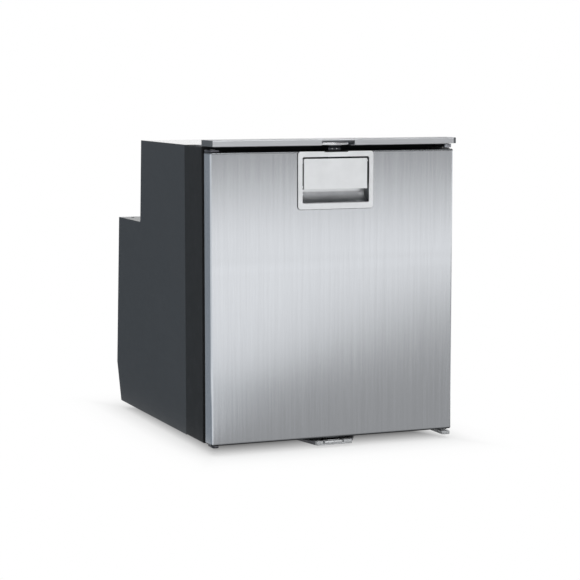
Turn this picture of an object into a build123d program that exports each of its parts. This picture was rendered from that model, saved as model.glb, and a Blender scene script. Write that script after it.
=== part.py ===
"""Built-in compressor refrigerator with a stainless door, in millimetres.

X runs to the right, Y away from the user and Z up. The origin is on the floor,
below the middle of the object's box.
"""

import math
import os

from build123d import *

os.makedirs("parts", exist_ok=True)

# Overall size
DEPTH = 545.0
HEIGHT = 525.0
FRONT_Y = -DEPTH / 2
REAR_Y = DEPTH / 2

# Door
DOOR_W = 445.0
DOOR_H = 488.5
DOOR_T = 32.0
DOOR_X = DOOR_W / 2
DOOR_Y0 = FRONT_Y + 5.0
DOOR_Y1 = DOOR_Y0 + DOOR_T
DOOR_Z0 = 17.0
DOOR_Z1 = DOOR_Z0 + DOOR_H
SKIN = 0.8
EDGE_R = 4.0
TOP_EDGE_R = 2.6

# Cabinet
CAB_X = 222.5
CAB_Z0 = 15.0
CAB_Z1 = 514.0
CAB_Y0 = DOOR_Y1 + 11.0
COLLAR_Y1 = CAB_Y0 + 86.0
COLLAR_WALL = 2.0
COLLAR_FACE = 2.5
SHEET = 1.2
STEP_Z = 365.0
BACK_TOP_Y = 104.5
STEP_Y = 113.5
REAR_TOP_Y = 245.5
REAR_LOW_Y = 266.5
REAR_LOW_Z = 87.0
REAR_FOOT_Y = 242.5

# Cavity
LINER_X = 186.0
LINER_Z0 = 54.0
LINER_Z1 = 480.0
LINER_BACK = 68.0
LINER_WALL = 2.0
LINER_R = 20.0
CAVITY_X = LINER_X - LINER_WALL
CAVITY_Z0 = LINER_Z0 + LINER_WALL
CAVITY_Z1 = LINER_Z1 - LINER_WALL
CAVITY_BACK = LINER_BACK - LINER_WALL
LEDGE = 5.0

# Shelves and drawer
SHELF_Z = (167.0, 267.0)
SHELF_FRONT = -120.0
SHELF_BACK = 58.0
SHELF_X = 181.0
SHELF_BAR = 5.0
WIRE_R = 1.6
WIRE_COUNT = 15
DRAWER_X = 176.0
DRAWER_Z0 = CAVITY_Z0 + 0.5
DRAWER_Z1 = 158.0
DRAWER_FRONT = -125.0
DRAWER_BACK = 58.0
DRAWER_WALL = 2.5

# Freezer compartment
FREEZER_X = 181.0
FREEZER_Z0 = 366.0
FREEZER_Z1 = 477.5
FREEZER_FRONT = -60.0
FREEZER_BACK = 65.5
FREEZER_WALL = 3.0
EVAPORATOR_BACK = FREEZER_BACK - FREEZER_WALL - 0.2
FLAP_T = 4.0
FLAP_HINGE_Z = 371.0
FLAP_HINGE_Y = -64.5
FREEZER_FLAP_H = 99.0
LUG_X = 176.0
LUG_T = 4.0
LUG_HOLE_R = 1.6
TRAY_Z = 347.0

# Control unit on the cavity's ceiling
PANEL_X = 62.0
PANEL_Y = -200.0
PANEL_D = 38.0
PANEL_Z = (455.0, 477.9)
BUTTON_X = (-34.0, 34.0)
BUTTON_R = 6.0
BUTTON_OUT = 2.0
LAMP_X = 40.0
LAMP_Y = (PANEL_Y + 10.0, PANEL_Y + 28.0)

# Inside of the door
RIB_X = (161.0, 175.0)
RIB_Z = (172.0, 468.0)
RIB_D = 42.0
BIN_X = 160.3
BOTTLE_Z = (182.0, 262.0)
BOTTLE_FRONT = -132.0
SMALL_Z = (380.0, 432.0)
SMALL_FRONT = -168.0

# Hinge
HINGE_X = 213.0
HINGE_Y = DOOR_Y0 + 14.0
HINGE_ARM = 8.0
PIN_R = 4.0
BUSH_R = 6.5
BUSH_FLANGE_R = 7.6
BUSH_FLANGE = 1.6
RUN = 0.05

# Top rail
RAIL_X = 224.0
RAIL_Z0 = 515.0
RAIL_D = 43.5
RAIL_WALL = 2.0
CAP_T = 4.0
RECESS_X = (-26.0, 34.0)
RECESS_TOP = 522.5
PLATE_T = 1.0

# Handle
FRAME_X = (-67.5, 70.2)
FRAME_Z = (407.6, 504.5)
FRAME_Y0 = DOOR_Y0 - 1.8
OPEN_X = (-59.8, 62.4)
OPEN_Z = (417.5, 495.3)
CUP_BACK = DOOR_Y0 + 25.0
CUP_WALL = 1.6
SCOOP_T = 0.8
HANDLE_X = (-57.0, 58.8)
HANDLE_Z = (441.0, 492.3)
HANDLE_T = 4.0
HANDLE_AXIS_Y = -262.5
HANDLE_AXIS_Z = 488.0
TRUNNION_R = 1.6
SCOOP_BACK = CUP_BACK - CUP_WALL
SCOOP = ((SCOOP_BACK, 446.0), (SCOOP_BACK - 3.8, 429.5), (DOOR_Y0 + 8.0, OPEN_Z[0]))

# Latches and catches
NOSE_X = (-10.0, 12.5)
NOSE_Y0 = DOOR_Y0 + 5.5
NOSE_D = 8.0
NOSE_UP = 6.5
NOSE_DOWN = 4.0
ROD_X = -5.0
LATCH_ROD_R = 1.7
LATCH_ROD_Y = -239.9
CATCH_SLOT_X = (-21.4, 16.9)
CATCH_SLOT_Y = -206.0
KEEPER_T = 2.8
CATCH_SCREW_X = 45.0
CATCH_SCREW_Y = -196.0

# Machine room
FAN_X = -125.0
FAN_Z = 215.0
FAN_R = 56.0
FAN_Y = 168.0
SPINDLE_R = 3.0
COMPRESSOR_X = 95.0
COMPRESSOR_Y = 179.0
COMPRESSOR_R = 60.0
COMPRESSOR_Z0 = 32.5
COMPRESSOR_H = 140.0
SUCTION_X = COMPRESSOR_X - 20.0
DISCHARGE_X = COMPRESSOR_X + 12.0
FIN_Y = (206.0, 232.0)
FIN_Z = (130.0, 300.0)
FIN_X = (-195.0, -55.0)
FIN_COUNT = 18
FIN_T = 0.8
PASSES = 6
PASS_PITCH = 28.0
TUBE_R = 3.0
DISCHARGE_R = 2.5
SUCTION_R = 3.0
CAPILLARY_R = 1.2
STUB_UP = 8.0
DUCT_X = -118.0
DUCT_Z = 420.0
DUCT_FOOT_Z = 345.0
GLAND_X = 150.0
GLAND_Z = 50.0
GLAND_R = 6.0
LEAD_R = 3.0

# Fasteners and the bolt holes in the base
SCREW_R = 3.4
SCREW_HEAD = 1.8
SHANK_R = 1.5
SHANK = 5.0
BOLT_Y = 30.0
BOLT_SPAN = (360.0, 200.0)
BOLT_R = 2.75


def front_plane(y):
    """Plane at depth y that faces the user: its x is X and its y is Z."""
    return Plane.XZ.offset(-y)


def side_plane(x):
    """Plane at x that faces right: its x is Y and its y is Z."""
    return Plane.YZ.offset(x)


def level(z):
    """Plane at height z that faces up."""
    return Plane.XY.offset(z)


def block(low, high, mode=Mode.ADD):
    """Box between two corners, added to the piece being built."""
    size = [b - a for a, b in zip(low, high)]
    with Locations(tuple(low)):
        Box(*size, align=(Align.MIN, Align.MIN, Align.MIN), mode=mode)


def rod(centre, radius, length, axis, mode=Mode.ADD):
    """Cylinder whose first end is centred on a point and which runs along an axis."""
    turns = {"x": (0, 90, 0), "y": (-90, 0, 0), "z": (0, 0, 0)}
    with Locations(Location(tuple(centre), turns[axis])):
        low = (Align.CENTER, Align.CENTER, Align.MIN)
        Cylinder(radius, length, align=low, mode=mode)


def middle(pair):
    """Middle of a low and high value."""
    return (pair[0] + pair[1]) / 2


def span(pair):
    """Distance between a low and high value."""
    return pair[1] - pair[0]


def back_y(z):
    """Outer face of the upper back at height z, which leans out going down."""
    return BACK_TOP_Y + (CAB_Z1 - z) * (STEP_Y - BACK_TOP_Y) / (CAB_Z1 - STEP_Z)


def rear_y(z):
    """Outer face of the machine room's back at height z."""
    return REAR_TOP_Y + (STEP_Z - z) * (REAR_LOW_Y - REAR_TOP_Y) / (STEP_Z - REAR_LOW_Z)


def foot_y(z):
    """Outer face of the slanted foot of the machine room at height z."""
    lean = (REAR_LOW_Y - REAR_FOOT_Y) / (REAR_LOW_Z - CAB_Z0)
    return REAR_FOOT_Y + (z - CAB_Z0) * lean


GLAND_SEAT = (GLAND_X, foot_y(GLAND_Z), GLAND_Z)
GLAND_OUT = Vector(0, REAR_LOW_Z - CAB_Z0, REAR_FOOT_Y - REAR_LOW_Y).normalized()


def make_front_collar():
    """Moulded ring between the sheet body and the door, with the front face."""
    mid_z = (CAB_Z0 + CAB_Z1) / 2
    mouth_z = (LINER_Z0 + LINER_Z1) / 2
    height = CAB_Z1 - CAB_Z0
    with BuildPart() as front_collar:
        with BuildSketch(front_plane(CAB_Y0)):
            with Locations((0, mid_z)):
                RectangleRounded(2 * CAB_X, height, 3.0)
                RectangleRounded(
                    2 * (CAB_X - COLLAR_WALL), height - 2 * COLLAR_WALL, 1.5, mode=Mode.SUBTRACT
                )
        extrude(amount=-(COLLAR_Y1 - CAB_Y0))
        with BuildSketch(front_plane(CAB_Y0)):
            with Locations((0, mid_z)):
                RectangleRounded(2 * CAB_X, height, 3.0)
            with Locations((0, mouth_z)):
                RectangleRounded(
                    2 * LINER_X + 0.4, LINER_Z1 - LINER_Z0 + 0.4, LINER_R + 0.2, mode=Mode.SUBTRACT
                )
        extrude(amount=-COLLAR_FACE)
        front = front_collar.faces().sort_by(Axis.Y)[0]
        chamfer(front.outer_wire().edges(), 0.6)
    front_collar.part.label = "front_collar"
    export_step(front_collar.part, "parts/front_collar.step")


def side_outline():
    """Corners of the side panel in Y and Z, with the step at the back."""
    return [
        (COLLAR_Y1, CAB_Z0),
        (REAR_FOOT_Y, CAB_Z0),
        (REAR_LOW_Y, REAR_LOW_Z),
        (REAR_TOP_Y, STEP_Z),
        (STEP_Y, STEP_Z),
        (BACK_TOP_Y, CAB_Z1),
        (COLLAR_Y1, CAB_Z1),
    ]


def make_side_panel(name, low_x, outer):
    """Painted sheet side with its outer edges broken."""
    with BuildPart() as side_panel:
        with BuildSketch(side_plane(low_x)):
            Polygon(*side_outline(), align=None)
        extrude(amount=SHEET)
        face = side_panel.faces().sort_by(Axis.X)[outer]
        chamfer(face.outer_wire().edges(), 0.4)
    side_panel.part.label = name
    export_step(side_panel.part, f"parts/{name}.step")


def make_top_panel():
    with BuildPart() as top_panel:
        inner_x = CAB_X - SHEET
        block((-inner_x, COLLAR_Y1, CAB_Z1 - SHEET), (inner_x, BACK_TOP_Y, CAB_Z1))
    top_panel.part.label = "top_panel"
    export_step(top_panel.part, "parts/top_panel.step")


def make_back_panel():
    """Bent sheet: the leaning upper back, then the wall of the machine room."""
    top_z = CAB_Z1 - SHEET
    low_z = CAB_Z0 + SHEET
    inner_x = CAB_X - SHEET
    points = [
        (back_y(top_z), top_z),
        (STEP_Y, STEP_Z),
        (STEP_Y, low_z),
        (STEP_Y - SHEET, low_z),
        (STEP_Y - SHEET, STEP_Z),
        (back_y(top_z) - SHEET, top_z),
    ]
    with BuildPart() as back_panel:
        with BuildSketch(side_plane(-inner_x)):
            Polygon(*points, align=None)
        extrude(amount=2 * inner_x)
        rod((DUCT_X, STEP_Y - 5, DUCT_FOOT_Z), 12.0, 10.0, "y", mode=Mode.SUBTRACT)
    back_panel.part.label = "back_panel"
    export_step(back_panel.part, "parts/back_panel.step")


def make_bottom_panel():
    """Base sheet with four holes for bolting the cabinet down."""
    inner_x = CAB_X - SHEET
    with BuildPart() as bottom_panel:
        block((-inner_x, COLLAR_Y1, CAB_Z0), (inner_x, REAR_FOOT_Y, CAB_Z0 + SHEET))
        with Locations((0, BOLT_Y, CAB_Z0 + SHEET / 2)):
            with GridLocations(*BOLT_SPAN, 2, 2):
                Cylinder(BOLT_R, 3 * SHEET, mode=Mode.SUBTRACT)
    bottom_panel.part.label = "bottom_panel"
    export_step(bottom_panel.part, "parts/bottom_panel.step")


def make_rear_cover():
    """Bent cover of the machine room: its step top and its louvred back."""
    inner_x = CAB_X - SHEET
    low_z = CAB_Z0 + SHEET
    points = [
        (STEP_Y, STEP_Z),
        (REAR_TOP_Y, STEP_Z),
        (REAR_LOW_Y, REAR_LOW_Z),
        (foot_y(low_z), low_z),
        (foot_y(low_z) - SHEET, low_z),
        (REAR_LOW_Y - SHEET, REAR_LOW_Z + 0.2),
        (REAR_TOP_Y - SHEET, STEP_Z - SHEET),
        (STEP_Y, STEP_Z - SHEET),
    ]
    slot_w = 104.0
    slot_h = 5.0
    slot_mid_z = 222.0
    column = 122.0
    row = 13.0
    rows = 17
    with BuildPart() as rear_cover:
        with BuildSketch(side_plane(-inner_x)):
            Polygon(*points, align=None)
        extrude(amount=2 * inner_x)
        with BuildSketch(front_plane(REAR_Y)):
            with Locations((0, slot_mid_z)):
                with GridLocations(column, row, 3, rows):
                    SlotOverall(slot_w, slot_h)
        extrude(amount=40.0, mode=Mode.SUBTRACT)
        with BuildSketch(Plane(origin=GLAND_SEAT, x_dir=(1, 0, 0), z_dir=GLAND_OUT)):
            Circle(GLAND_R + RUN)
        extrude(amount=3.0, both=True, mode=Mode.SUBTRACT)
    rear_cover.part.label = "rear_cover"
    export_step(rear_cover.part, "parts/rear_cover.step")


def make_foam_insulation():
    """Foam between the sheet body and the liner, with a duct for the pipes."""
    gap = 0.2
    corner_gap = 0.8
    edge_x = CAB_X - COLLAR_WALL - corner_gap
    low_z = CAB_Z0 + COLLAR_WALL + corner_gap
    high_z = CAB_Z1 - COLLAR_WALL - corner_gap
    front = CAB_Y0 + COLLAR_FACE + gap
    back = SHEET + gap
    points = [
        (front, low_z),
        (STEP_Y - back, low_z),
        (STEP_Y - back, STEP_Z),
        (back_y(high_z) - back, high_z),
        (front, high_z),
    ]
    with BuildPart() as foam_insulation:
        with BuildSketch(side_plane(-edge_x)):
            Polygon(*points, align=None)
        extrude(amount=2 * edge_x)
        with BuildSketch(front_plane(front)):
            with Locations((0, (LINER_Z0 + LINER_Z1) / 2)):
                RectangleRounded(
                    2 * LINER_X + 2 * gap, LINER_Z1 - LINER_Z0 + 2 * gap, LINER_R + gap
                )
        extrude(amount=-(LINER_BACK + gap - front), mode=Mode.SUBTRACT)
        duct = 14.0
        duct_low = (DUCT_X - duct, LINER_BACK - 1, DUCT_FOOT_Z - duct - 1)
        duct_high = (DUCT_X + duct, STEP_Y + 1, DUCT_Z + duct)
        block(duct_low, duct_high, mode=Mode.SUBTRACT)
    foam_insulation.part.label = "foam_insulation"
    export_step(foam_insulation.part, "parts/foam_insulation.step")


def make_inner_liner():
    """Formed tub with a ledge on each side for every shelf."""
    height = LINER_Z1 - LINER_Z0
    with BuildPart() as inner_liner:
        with BuildSketch(front_plane(CAB_Y0)):
            with Locations((0, (LINER_Z0 + LINER_Z1) / 2)):
                RectangleRounded(2 * LINER_X, height, LINER_R)
        extrude(amount=-(LINER_BACK - CAB_Y0))
        with BuildSketch(front_plane(CAB_Y0)):
            with Locations((0, (LINER_Z0 + LINER_Z1) / 2)):
                inner_h = height - 2 * LINER_WALL
                RectangleRounded(2 * CAVITY_X, inner_h, LINER_R - LINER_WALL)
        extrude(amount=-(CAVITY_BACK - CAB_Y0), mode=Mode.SUBTRACT)
        for z in SHELF_Z:
            for side in (-1, 1):
                low_x = min(side * CAVITY_X, side * (CAVITY_X - LEDGE))
                top = z - SHELF_BAR / 2
                block((low_x, SHELF_FRONT, top - 7), (low_x + LEDGE, SHELF_BACK, top))
        rod((DUCT_X, CAVITY_BACK - 1, DUCT_Z), 9.0, 5.0, "y", mode=Mode.SUBTRACT)
    inner_liner.part.label = "inner_liner"
    export_step(inner_liner.part, "parts/inner_liner.step")


def make_top_rail():
    """Aluminium rail above the door, open below, with the catch's cut-out."""
    end_x = RAIL_X - CAP_T
    back = FRONT_Y + RAIL_D
    with BuildPart() as top_rail:
        block((-end_x, FRONT_Y, RAIL_Z0), (end_x, back, HEIGHT))
        fillet(top_rail.edges().filter_by(Axis.X).group_by(Axis.Z)[-1], 1.2)
        inner_low = (-end_x, FRONT_Y + RAIL_WALL, RAIL_Z0)
        inner_high = (end_x, back - RAIL_WALL, HEIGHT - RAIL_WALL)
        block(inner_low, inner_high, mode=Mode.SUBTRACT)
        cut_low = (RECESS_X[0], FRONT_Y - 1, RAIL_Z0 - 1)
        cut_high = (RECESS_X[1], FRONT_Y + RAIL_WALL + 0.1, RECESS_TOP)
        block(cut_low, cut_high, mode=Mode.SUBTRACT)
    top_rail.part.label = "top_rail"
    export_step(top_rail.part, "parts/top_rail.step")


def make_rail_end_caps():
    with BuildPart() as rail_end_caps:
        for side in (-1, 1):
            low_x = min(side * RAIL_X, side * (RAIL_X - CAP_T))
            with BuildSketch(side_plane(low_x)):
                with Locations((FRONT_Y + RAIL_D / 2, (RAIL_Z0 + HEIGHT) / 2)):
                    RectangleRounded(RAIL_D - 0.2, HEIGHT - RAIL_Z0 - 0.1, 1.0)
            extrude(amount=CAP_T)
    rail_end_caps.part.label = "rail_end_caps"
    export_step(rail_end_caps.part, "parts/rail_end_caps.step")


def make_rail_plate():
    """Steel plate that carries the rail over the door, screwed on the cabinet top."""
    front = DOOR_Y0 + 5.0
    with BuildPart() as rail_plate:
        block((-215.0, front, CAB_Z1), (215.0, -165.0, CAB_Z1 + PLATE_T))
        slot_low = (RECESS_X[0] + 3, front - 1, CAB_Z1 - 1)
        slot_high = (RECESS_X[1] - 3, DOOR_Y0 + 28.0, CAB_Z1 + 3)
        block(slot_low, slot_high, mode=Mode.SUBTRACT)
    rail_plate.part.label = "rail_plate"
    export_step(rail_plate.part, "parts/rail_plate.step")


def screw(x, y, z, direction, radius=SCREW_R):
    """Low round head on a flat face at x, y, z, with its shank going into the body."""
    out = {"+y": (0, 1, 0), "+z": (0, 0, 1), "-z": (0, 0, -1)}[direction]
    outward = direction[0] == "+"
    head_from = 0.0 if outward else SCREW_HEAD
    shank_from = -SHANK if outward else 0.0
    head_start = [p + head_from * s for p, s in zip((x, y, z), out)]
    shank_start = [p + shank_from * s for p, s in zip((x, y, z), out)]
    rod(head_start, radius, SCREW_HEAD, direction[1])
    rod(shank_start, SHANK_R, SHANK, direction[1])


def make_rail_screws():
    with BuildPart() as rail_screws:
        for x in (-190.0, -120.0, -50.0, 50.0, 120.0, 190.0):
            screw(x, -185.0, CAB_Z1 + PLATE_T, "+z", radius=3.8)
    rail_screws.part.label = "rail_screws"
    export_step(rail_screws.part, "parts/rail_screws.step")


def make_cabinet_screws():
    """Screws of the rear cover, the lower catch and the lower hinge bracket."""
    with BuildPart() as cabinet_screws:
        for x in (-200.0, 0.0, 200.0):
            screw(x, 230.0, STEP_Z, "+z")
        for x in (-205.0, 205.0):
            screw(x, rear_y(118.0) - 0.3, 118.0, "+y")
        for x in (-CATCH_SCREW_X, CATCH_SCREW_X):
            screw(x, CATCH_SCREW_Y, CAB_Z0 - 3.0, "-z")
        screw(HINGE_X, -195.0, CAB_Z0 - 6.0, "-z")
    cabinet_screws.part.label = "cabinet_screws"
    export_step(cabinet_screws.part, "parts/cabinet_screws.step")


def make_hinge_bracket_upper():
    """Arm below the rail plate with the pin that goes down into the door."""
    low_x = HINGE_X - HINGE_ARM
    high_x = HINGE_X + HINGE_ARM - 2.0
    low_z = DOOR_Z1 + 2.5
    with BuildPart() as hinge_bracket_upper:
        block((low_x, DOOR_Y0 - 1.0, low_z), (high_x, CAB_Y0, CAB_Z1))
        fillet(hinge_bracket_upper.edges().filter_by(Axis.Z).group_by(Axis.Y)[0], 5.0)
        rod((HINGE_X, HINGE_Y, DOOR_Z1 - 12.0), PIN_R, low_z - DOOR_Z1 + 12.0, "z")
    hinge_bracket_upper.part.label = "hinge_bracket_upper"
    export_step(hinge_bracket_upper.part, "parts/hinge_bracket_upper.step")


def make_hinge_bracket_lower():
    """Arm under the cabinet's front edge with the pin that carries the door."""
    low_x = HINGE_X - HINGE_ARM
    high_x = HINGE_X + HINGE_ARM
    collar = 1.6
    top_z = CAB_Z0 - collar
    low_z = top_z - 6.0
    end_y = -180.0
    with BuildPart() as hinge_bracket_lower:
        block((low_x, DOOR_Y0 - 1.0, low_z), (high_x, end_y, top_z))
        block((low_x, CAB_Y0 + 0.3, top_z), (high_x, end_y, CAB_Z0))
        fillet(hinge_bracket_lower.edges().filter_by(Axis.Z).group_by(Axis.Y)[0], 5.0)
        rod((HINGE_X, HINGE_Y, top_z), PIN_R, DOOR_Z0 + 12.0 - top_z, "z")
        rod((HINGE_X, HINGE_Y, top_z), BUSH_R - 0.5, collar, "z")
    hinge_bracket_lower.part.label = "hinge_bracket_lower"
    export_step(hinge_bracket_lower.part, "parts/hinge_bracket_lower.step")


def make_catch_base_lower():
    """Wide base of the lower catch: a rounded front block with a wing rising at each side."""
    low_z = 5.2
    high_z = 12.0
    wing_z = 11.0
    floor_z = low_z + 1.5
    slot_z = 7.6
    roof_z = 8.5
    front = DOOR_Y0 - 2.0
    block_y = front + 6.0
    wing_y = CAB_Y0 + 4.0
    end_y = -178.0
    half = 60.0
    block_x = 34.0
    outline = [
        (1.5 - block_x, front),
        (block_x - 1.5, front),
        (block_x, block_y),
        (half, wing_y),
        (half, end_y),
        (-half, end_y),
        (-half, wing_y),
        (-block_x, block_y),
    ]
    below_wing = [(block_y, low_z), (wing_y, wing_z), (end_y + 1, wing_z), (end_y + 1, low_z - 1)]
    with BuildPart() as catch_base_lower:
        with BuildSketch(level(low_z)):
            Polygon(*outline, align=None)
        extrude(amount=high_z - low_z)
        fillet(catch_base_lower.edges().filter_by(Axis.Z).group_by(Axis.Y)[0], 3.5)
        block((-half, wing_y, high_z), (half, end_y, CAB_Z0))
        pocket_low = (-30.0, front + 9.0, low_z - 1)
        block(pocket_low, (30.0, CAB_Y0, floor_z), mode=Mode.SUBTRACT)
        under_low = (-half + 6, wing_y + 4, low_z - 1)
        block(under_low, (half - 6, end_y - 8, roof_z), mode=Mode.SUBTRACT)
        for low_x in (-half - 1, block_x - 1.0):
            with BuildSketch(side_plane(low_x)):
                Polygon(*below_wing, (block_y, low_z - 1), align=None)
            extrude(amount=half - block_x + 2.0, mode=Mode.SUBTRACT)
        slot_low = (CATCH_SLOT_X[0], front - 1.0, slot_z)
        slot_high = (CATCH_SLOT_X[1], CATCH_SLOT_Y, CAB_Z0 + 1)
        block(slot_low, slot_high, mode=Mode.SUBTRACT)
        rib_low = (CATCH_SLOT_X[0], wing_y + 4, floor_z)
        block(rib_low, (CATCH_SLOT_X[1], CATCH_SLOT_Y, slot_z))
        for side in (-1, 1):
            hole = (side * CATCH_SCREW_X, CATCH_SCREW_Y, roof_z)
            rod(hole, 5.0, high_z - roof_z, "z", mode=Mode.SUBTRACT)
    catch_base_lower.part.label = "catch_base_lower"
    export_step(catch_base_lower.part, "parts/catch_base_lower.step")


def make_catch_slide_lower():
    """Centre bar of the lower catch, which slides forward to hold the door ajar."""
    left = CATCH_SLOT_X[0] + 3.0
    right = CATCH_SLOT_X[1] - 2.8
    low_z = 8.0
    high_z = 11.8
    keeper_y = NOSE_Y0 + 3.4
    with BuildPart() as catch_slide_lower:
        block((left, DOOR_Y0 - 3.0, low_z), (right, -222.0, high_z))
        fillet(catch_slide_lower.edges().filter_by(Axis.X).group_by(Axis.Y)[0], 1.2)
        keeper_low = (NOSE_X[0] + 1, keeper_y - KEEPER_T, high_z)
        block(keeper_low, (NOSE_X[1] - 1, keeper_y, high_z + 0.6))
    catch_slide_lower.part.label = "catch_slide_lower"
    export_step(catch_slide_lower.part, "parts/catch_slide_lower.step")


def make_catch_slide_upper():
    """Bright strip in the rail's cut-out, with a bowed front edge and a keeper lip."""
    low_z = RAIL_Z0 + 0.4
    front = FRONT_Y + 4.5
    left = RECESS_X[0] + 2.0
    right = RECESS_X[1] - 10.0
    keeper_y = NOSE_Y0 - 0.6
    with BuildPart() as catch_slide_upper:
        with BuildSketch(level(low_z)):
            with BuildLine():
                Polyline((left, front), (left, front + 30), (right, front + 30), (right, front))
                ThreePointArc((right, front), ((left + right) / 2, front - 4.0), (left, front))
            make_face()
        extrude(amount=4.0)
        top_front = catch_slide_upper.edges().group_by(Axis.Z)[-1].sort_by(Axis.Y)[0]
        fillet(top_front, 1.5)
        keeper_low = (NOSE_X[0], keeper_y - KEEPER_T, CAB_Z1 - 1.0)
        block(keeper_low, (NOSE_X[1], keeper_y, low_z))
    catch_slide_upper.part.label = "catch_slide_upper"
    export_step(catch_slide_upper.part, "parts/catch_slide_upper.step")


def make_rubber_feet():
    with BuildPart() as rubber_feet:
        for x in (-165.0, 165.0):
            for y in (-105.0, 195.0):
                with Locations((x, y, 0)):
                    low = (Align.CENTER, Align.CENTER, Align.MIN)
                    Cylinder(14.0, CAB_Z0, align=low)
        fillet(rubber_feet.edges().group_by(Axis.Z)[0], 1.5)
    rubber_feet.part.label = "rubber_feet"
    export_step(rubber_feet.part, "parts/rubber_feet.step")


def make_rear_spacers():
    """Two blocks that keep the back off the wall for the air flow."""
    with BuildPart() as rear_spacers:
        for x in (-205.0, 205.0):
            with BuildSketch(side_plane(x - 8.0)):
                Polygon(
                    (rear_y(104.0), 104.0),
                    (REAR_LOW_Y, REAR_LOW_Z),
                    (foot_y(72.0), 72.0),
                    (REAR_Y, 76.0),
                    (REAR_Y, 100.0),
                    align=None,
                )
            extrude(amount=16.0)
    rear_spacers.part.label = "rear_spacers"
    export_step(rear_spacers.part, "parts/rear_spacers.step")


def make_freezer_shell():
    """Sleeve of the freezer compartment, open in front, with two hinge lugs."""
    mid_z = (FREEZER_Z0 + FREEZER_Z1) / 2
    width = 2 * FREEZER_X
    height = FREEZER_Z1 - FREEZER_Z0
    wall = FREEZER_WALL
    with BuildPart() as freezer_shell:
        with BuildSketch(front_plane(FREEZER_FRONT)) as outside:
            with Locations((0, mid_z)):
                Rectangle(width, height)
            fillet(outside.vertices().group_by(Axis.Y)[0], 8.0)
            fillet(outside.vertices().group_by(Axis.Y)[-1], 17.0)
        extrude(amount=-(FREEZER_BACK - FREEZER_FRONT))
        with BuildSketch(front_plane(FREEZER_FRONT)) as inside:
            with Locations((0, mid_z)):
                Rectangle(width - 2 * wall, height - 2 * wall)
            fillet(inside.vertices().group_by(Axis.Y)[0], 5.0)
            fillet(inside.vertices().group_by(Axis.Y)[-1], 14.0)
        extrude(amount=-(FREEZER_BACK - FREEZER_FRONT - wall), mode=Mode.SUBTRACT)
        for side in (-1, 1):
            lug_x = min(side * LUG_X, side * (LUG_X + LUG_T))
            lug_low = (lug_x, FLAP_HINGE_Y - 3.0, FLAP_HINGE_Z - 3)
            block(lug_low, (lug_x + LUG_T, FREEZER_FRONT, FLAP_HINGE_Z + 3))
            hole = (lug_x - 1, FLAP_HINGE_Y, FLAP_HINGE_Z)
            rod(hole, LUG_HOLE_R, LUG_T + 2, "x", mode=Mode.SUBTRACT)
        rod((DUCT_X, FREEZER_BACK - 5, DUCT_Z), 9.0, 8.0, "y", mode=Mode.SUBTRACT)
    freezer_shell.part.label = "freezer_shell"
    export_step(freezer_shell.part, "parts/freezer_shell.step")


def make_freezer_flap():
    """Flap of the freezer, hinged on two stub pins along its foot."""
    half = FREEZER_X - 6.5
    face = FLAP_HINGE_Y - FLAP_T / 2
    top = FLAP_HINGE_Z - 3 + FREEZER_FLAP_H
    with BuildPart() as freezer_flap:
        block((-half, face, FLAP_HINGE_Z - 2), (half, face + FLAP_T, top))
        fillet(freezer_flap.edges().filter_by(Axis.Y).group_by(Axis.Z)[-1], 8.0)
        fillet(freezer_flap.edges().filter_by(Axis.X).group_by(Axis.Z)[0], 1.9)
        block((-40.0, face - 4.0, top - 16.0), (40.0, face, top - 8.0))
        panel_low = (-half + 14, face - 0.1, FLAP_HINGE_Z + 14)
        block(panel_low, (half - 14, face + 1.2, top - 24), mode=Mode.SUBTRACT)
        for side in (-1, 1):
            start = half - 1 if side > 0 else -half - 4.5
            rod((start, FLAP_HINGE_Y, FLAP_HINGE_Z), LUG_HOLE_R - RUN, 5.5, "x")
    freezer_flap.part.label = "freezer_flap"
    export_step(freezer_flap.part, "parts/freezer_flap.step")


def make_evaporator():
    """Formed aluminium plate that lines the freezer: floor, back and ceiling."""
    gap = 0.3
    low_z = FREEZER_Z0 + FREEZER_WALL + gap
    high_z = FREEZER_Z1 - FREEZER_WALL - gap
    back = EVAPORATOR_BACK - 0.1
    front = FREEZER_FRONT + 8.0
    half = 165.0
    t = 1.8
    points = [
        (front, low_z),
        (back, low_z),
        (back, high_z),
        (front, high_z),
        (front, high_z - t),
        (back - t, high_z - t),
        (back - t, low_z + t),
        (front, low_z + t),
    ]
    with BuildPart() as evaporator:
        with BuildSketch(side_plane(-half)):
            Polygon(*points, align=None)
        extrude(amount=2 * half)
    evaporator.part.label = "evaporator"
    export_step(evaporator.part, "parts/evaporator.step")


def make_drip_tray():
    half = CAVITY_X - 1
    front = FREEZER_FRONT + 4
    wall = 2.0
    height = 11.0
    with BuildPart() as drip_tray:
        block((-half, front, TRAY_Z), (half, SHELF_BACK, TRAY_Z + height))
        fillet(drip_tray.edges().filter_by(Axis.Z), 5.0)
        inner_low = (-half + wall, front + wall, TRAY_Z + wall)
        inner_high = (half - wall, SHELF_BACK - wall, TRAY_Z + height + 1)
        block(inner_low, inner_high, mode=Mode.SUBTRACT)
    drip_tray.part.label = "drip_tray"
    export_step(drip_tray.part, "parts/drip_tray.step")


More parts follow.
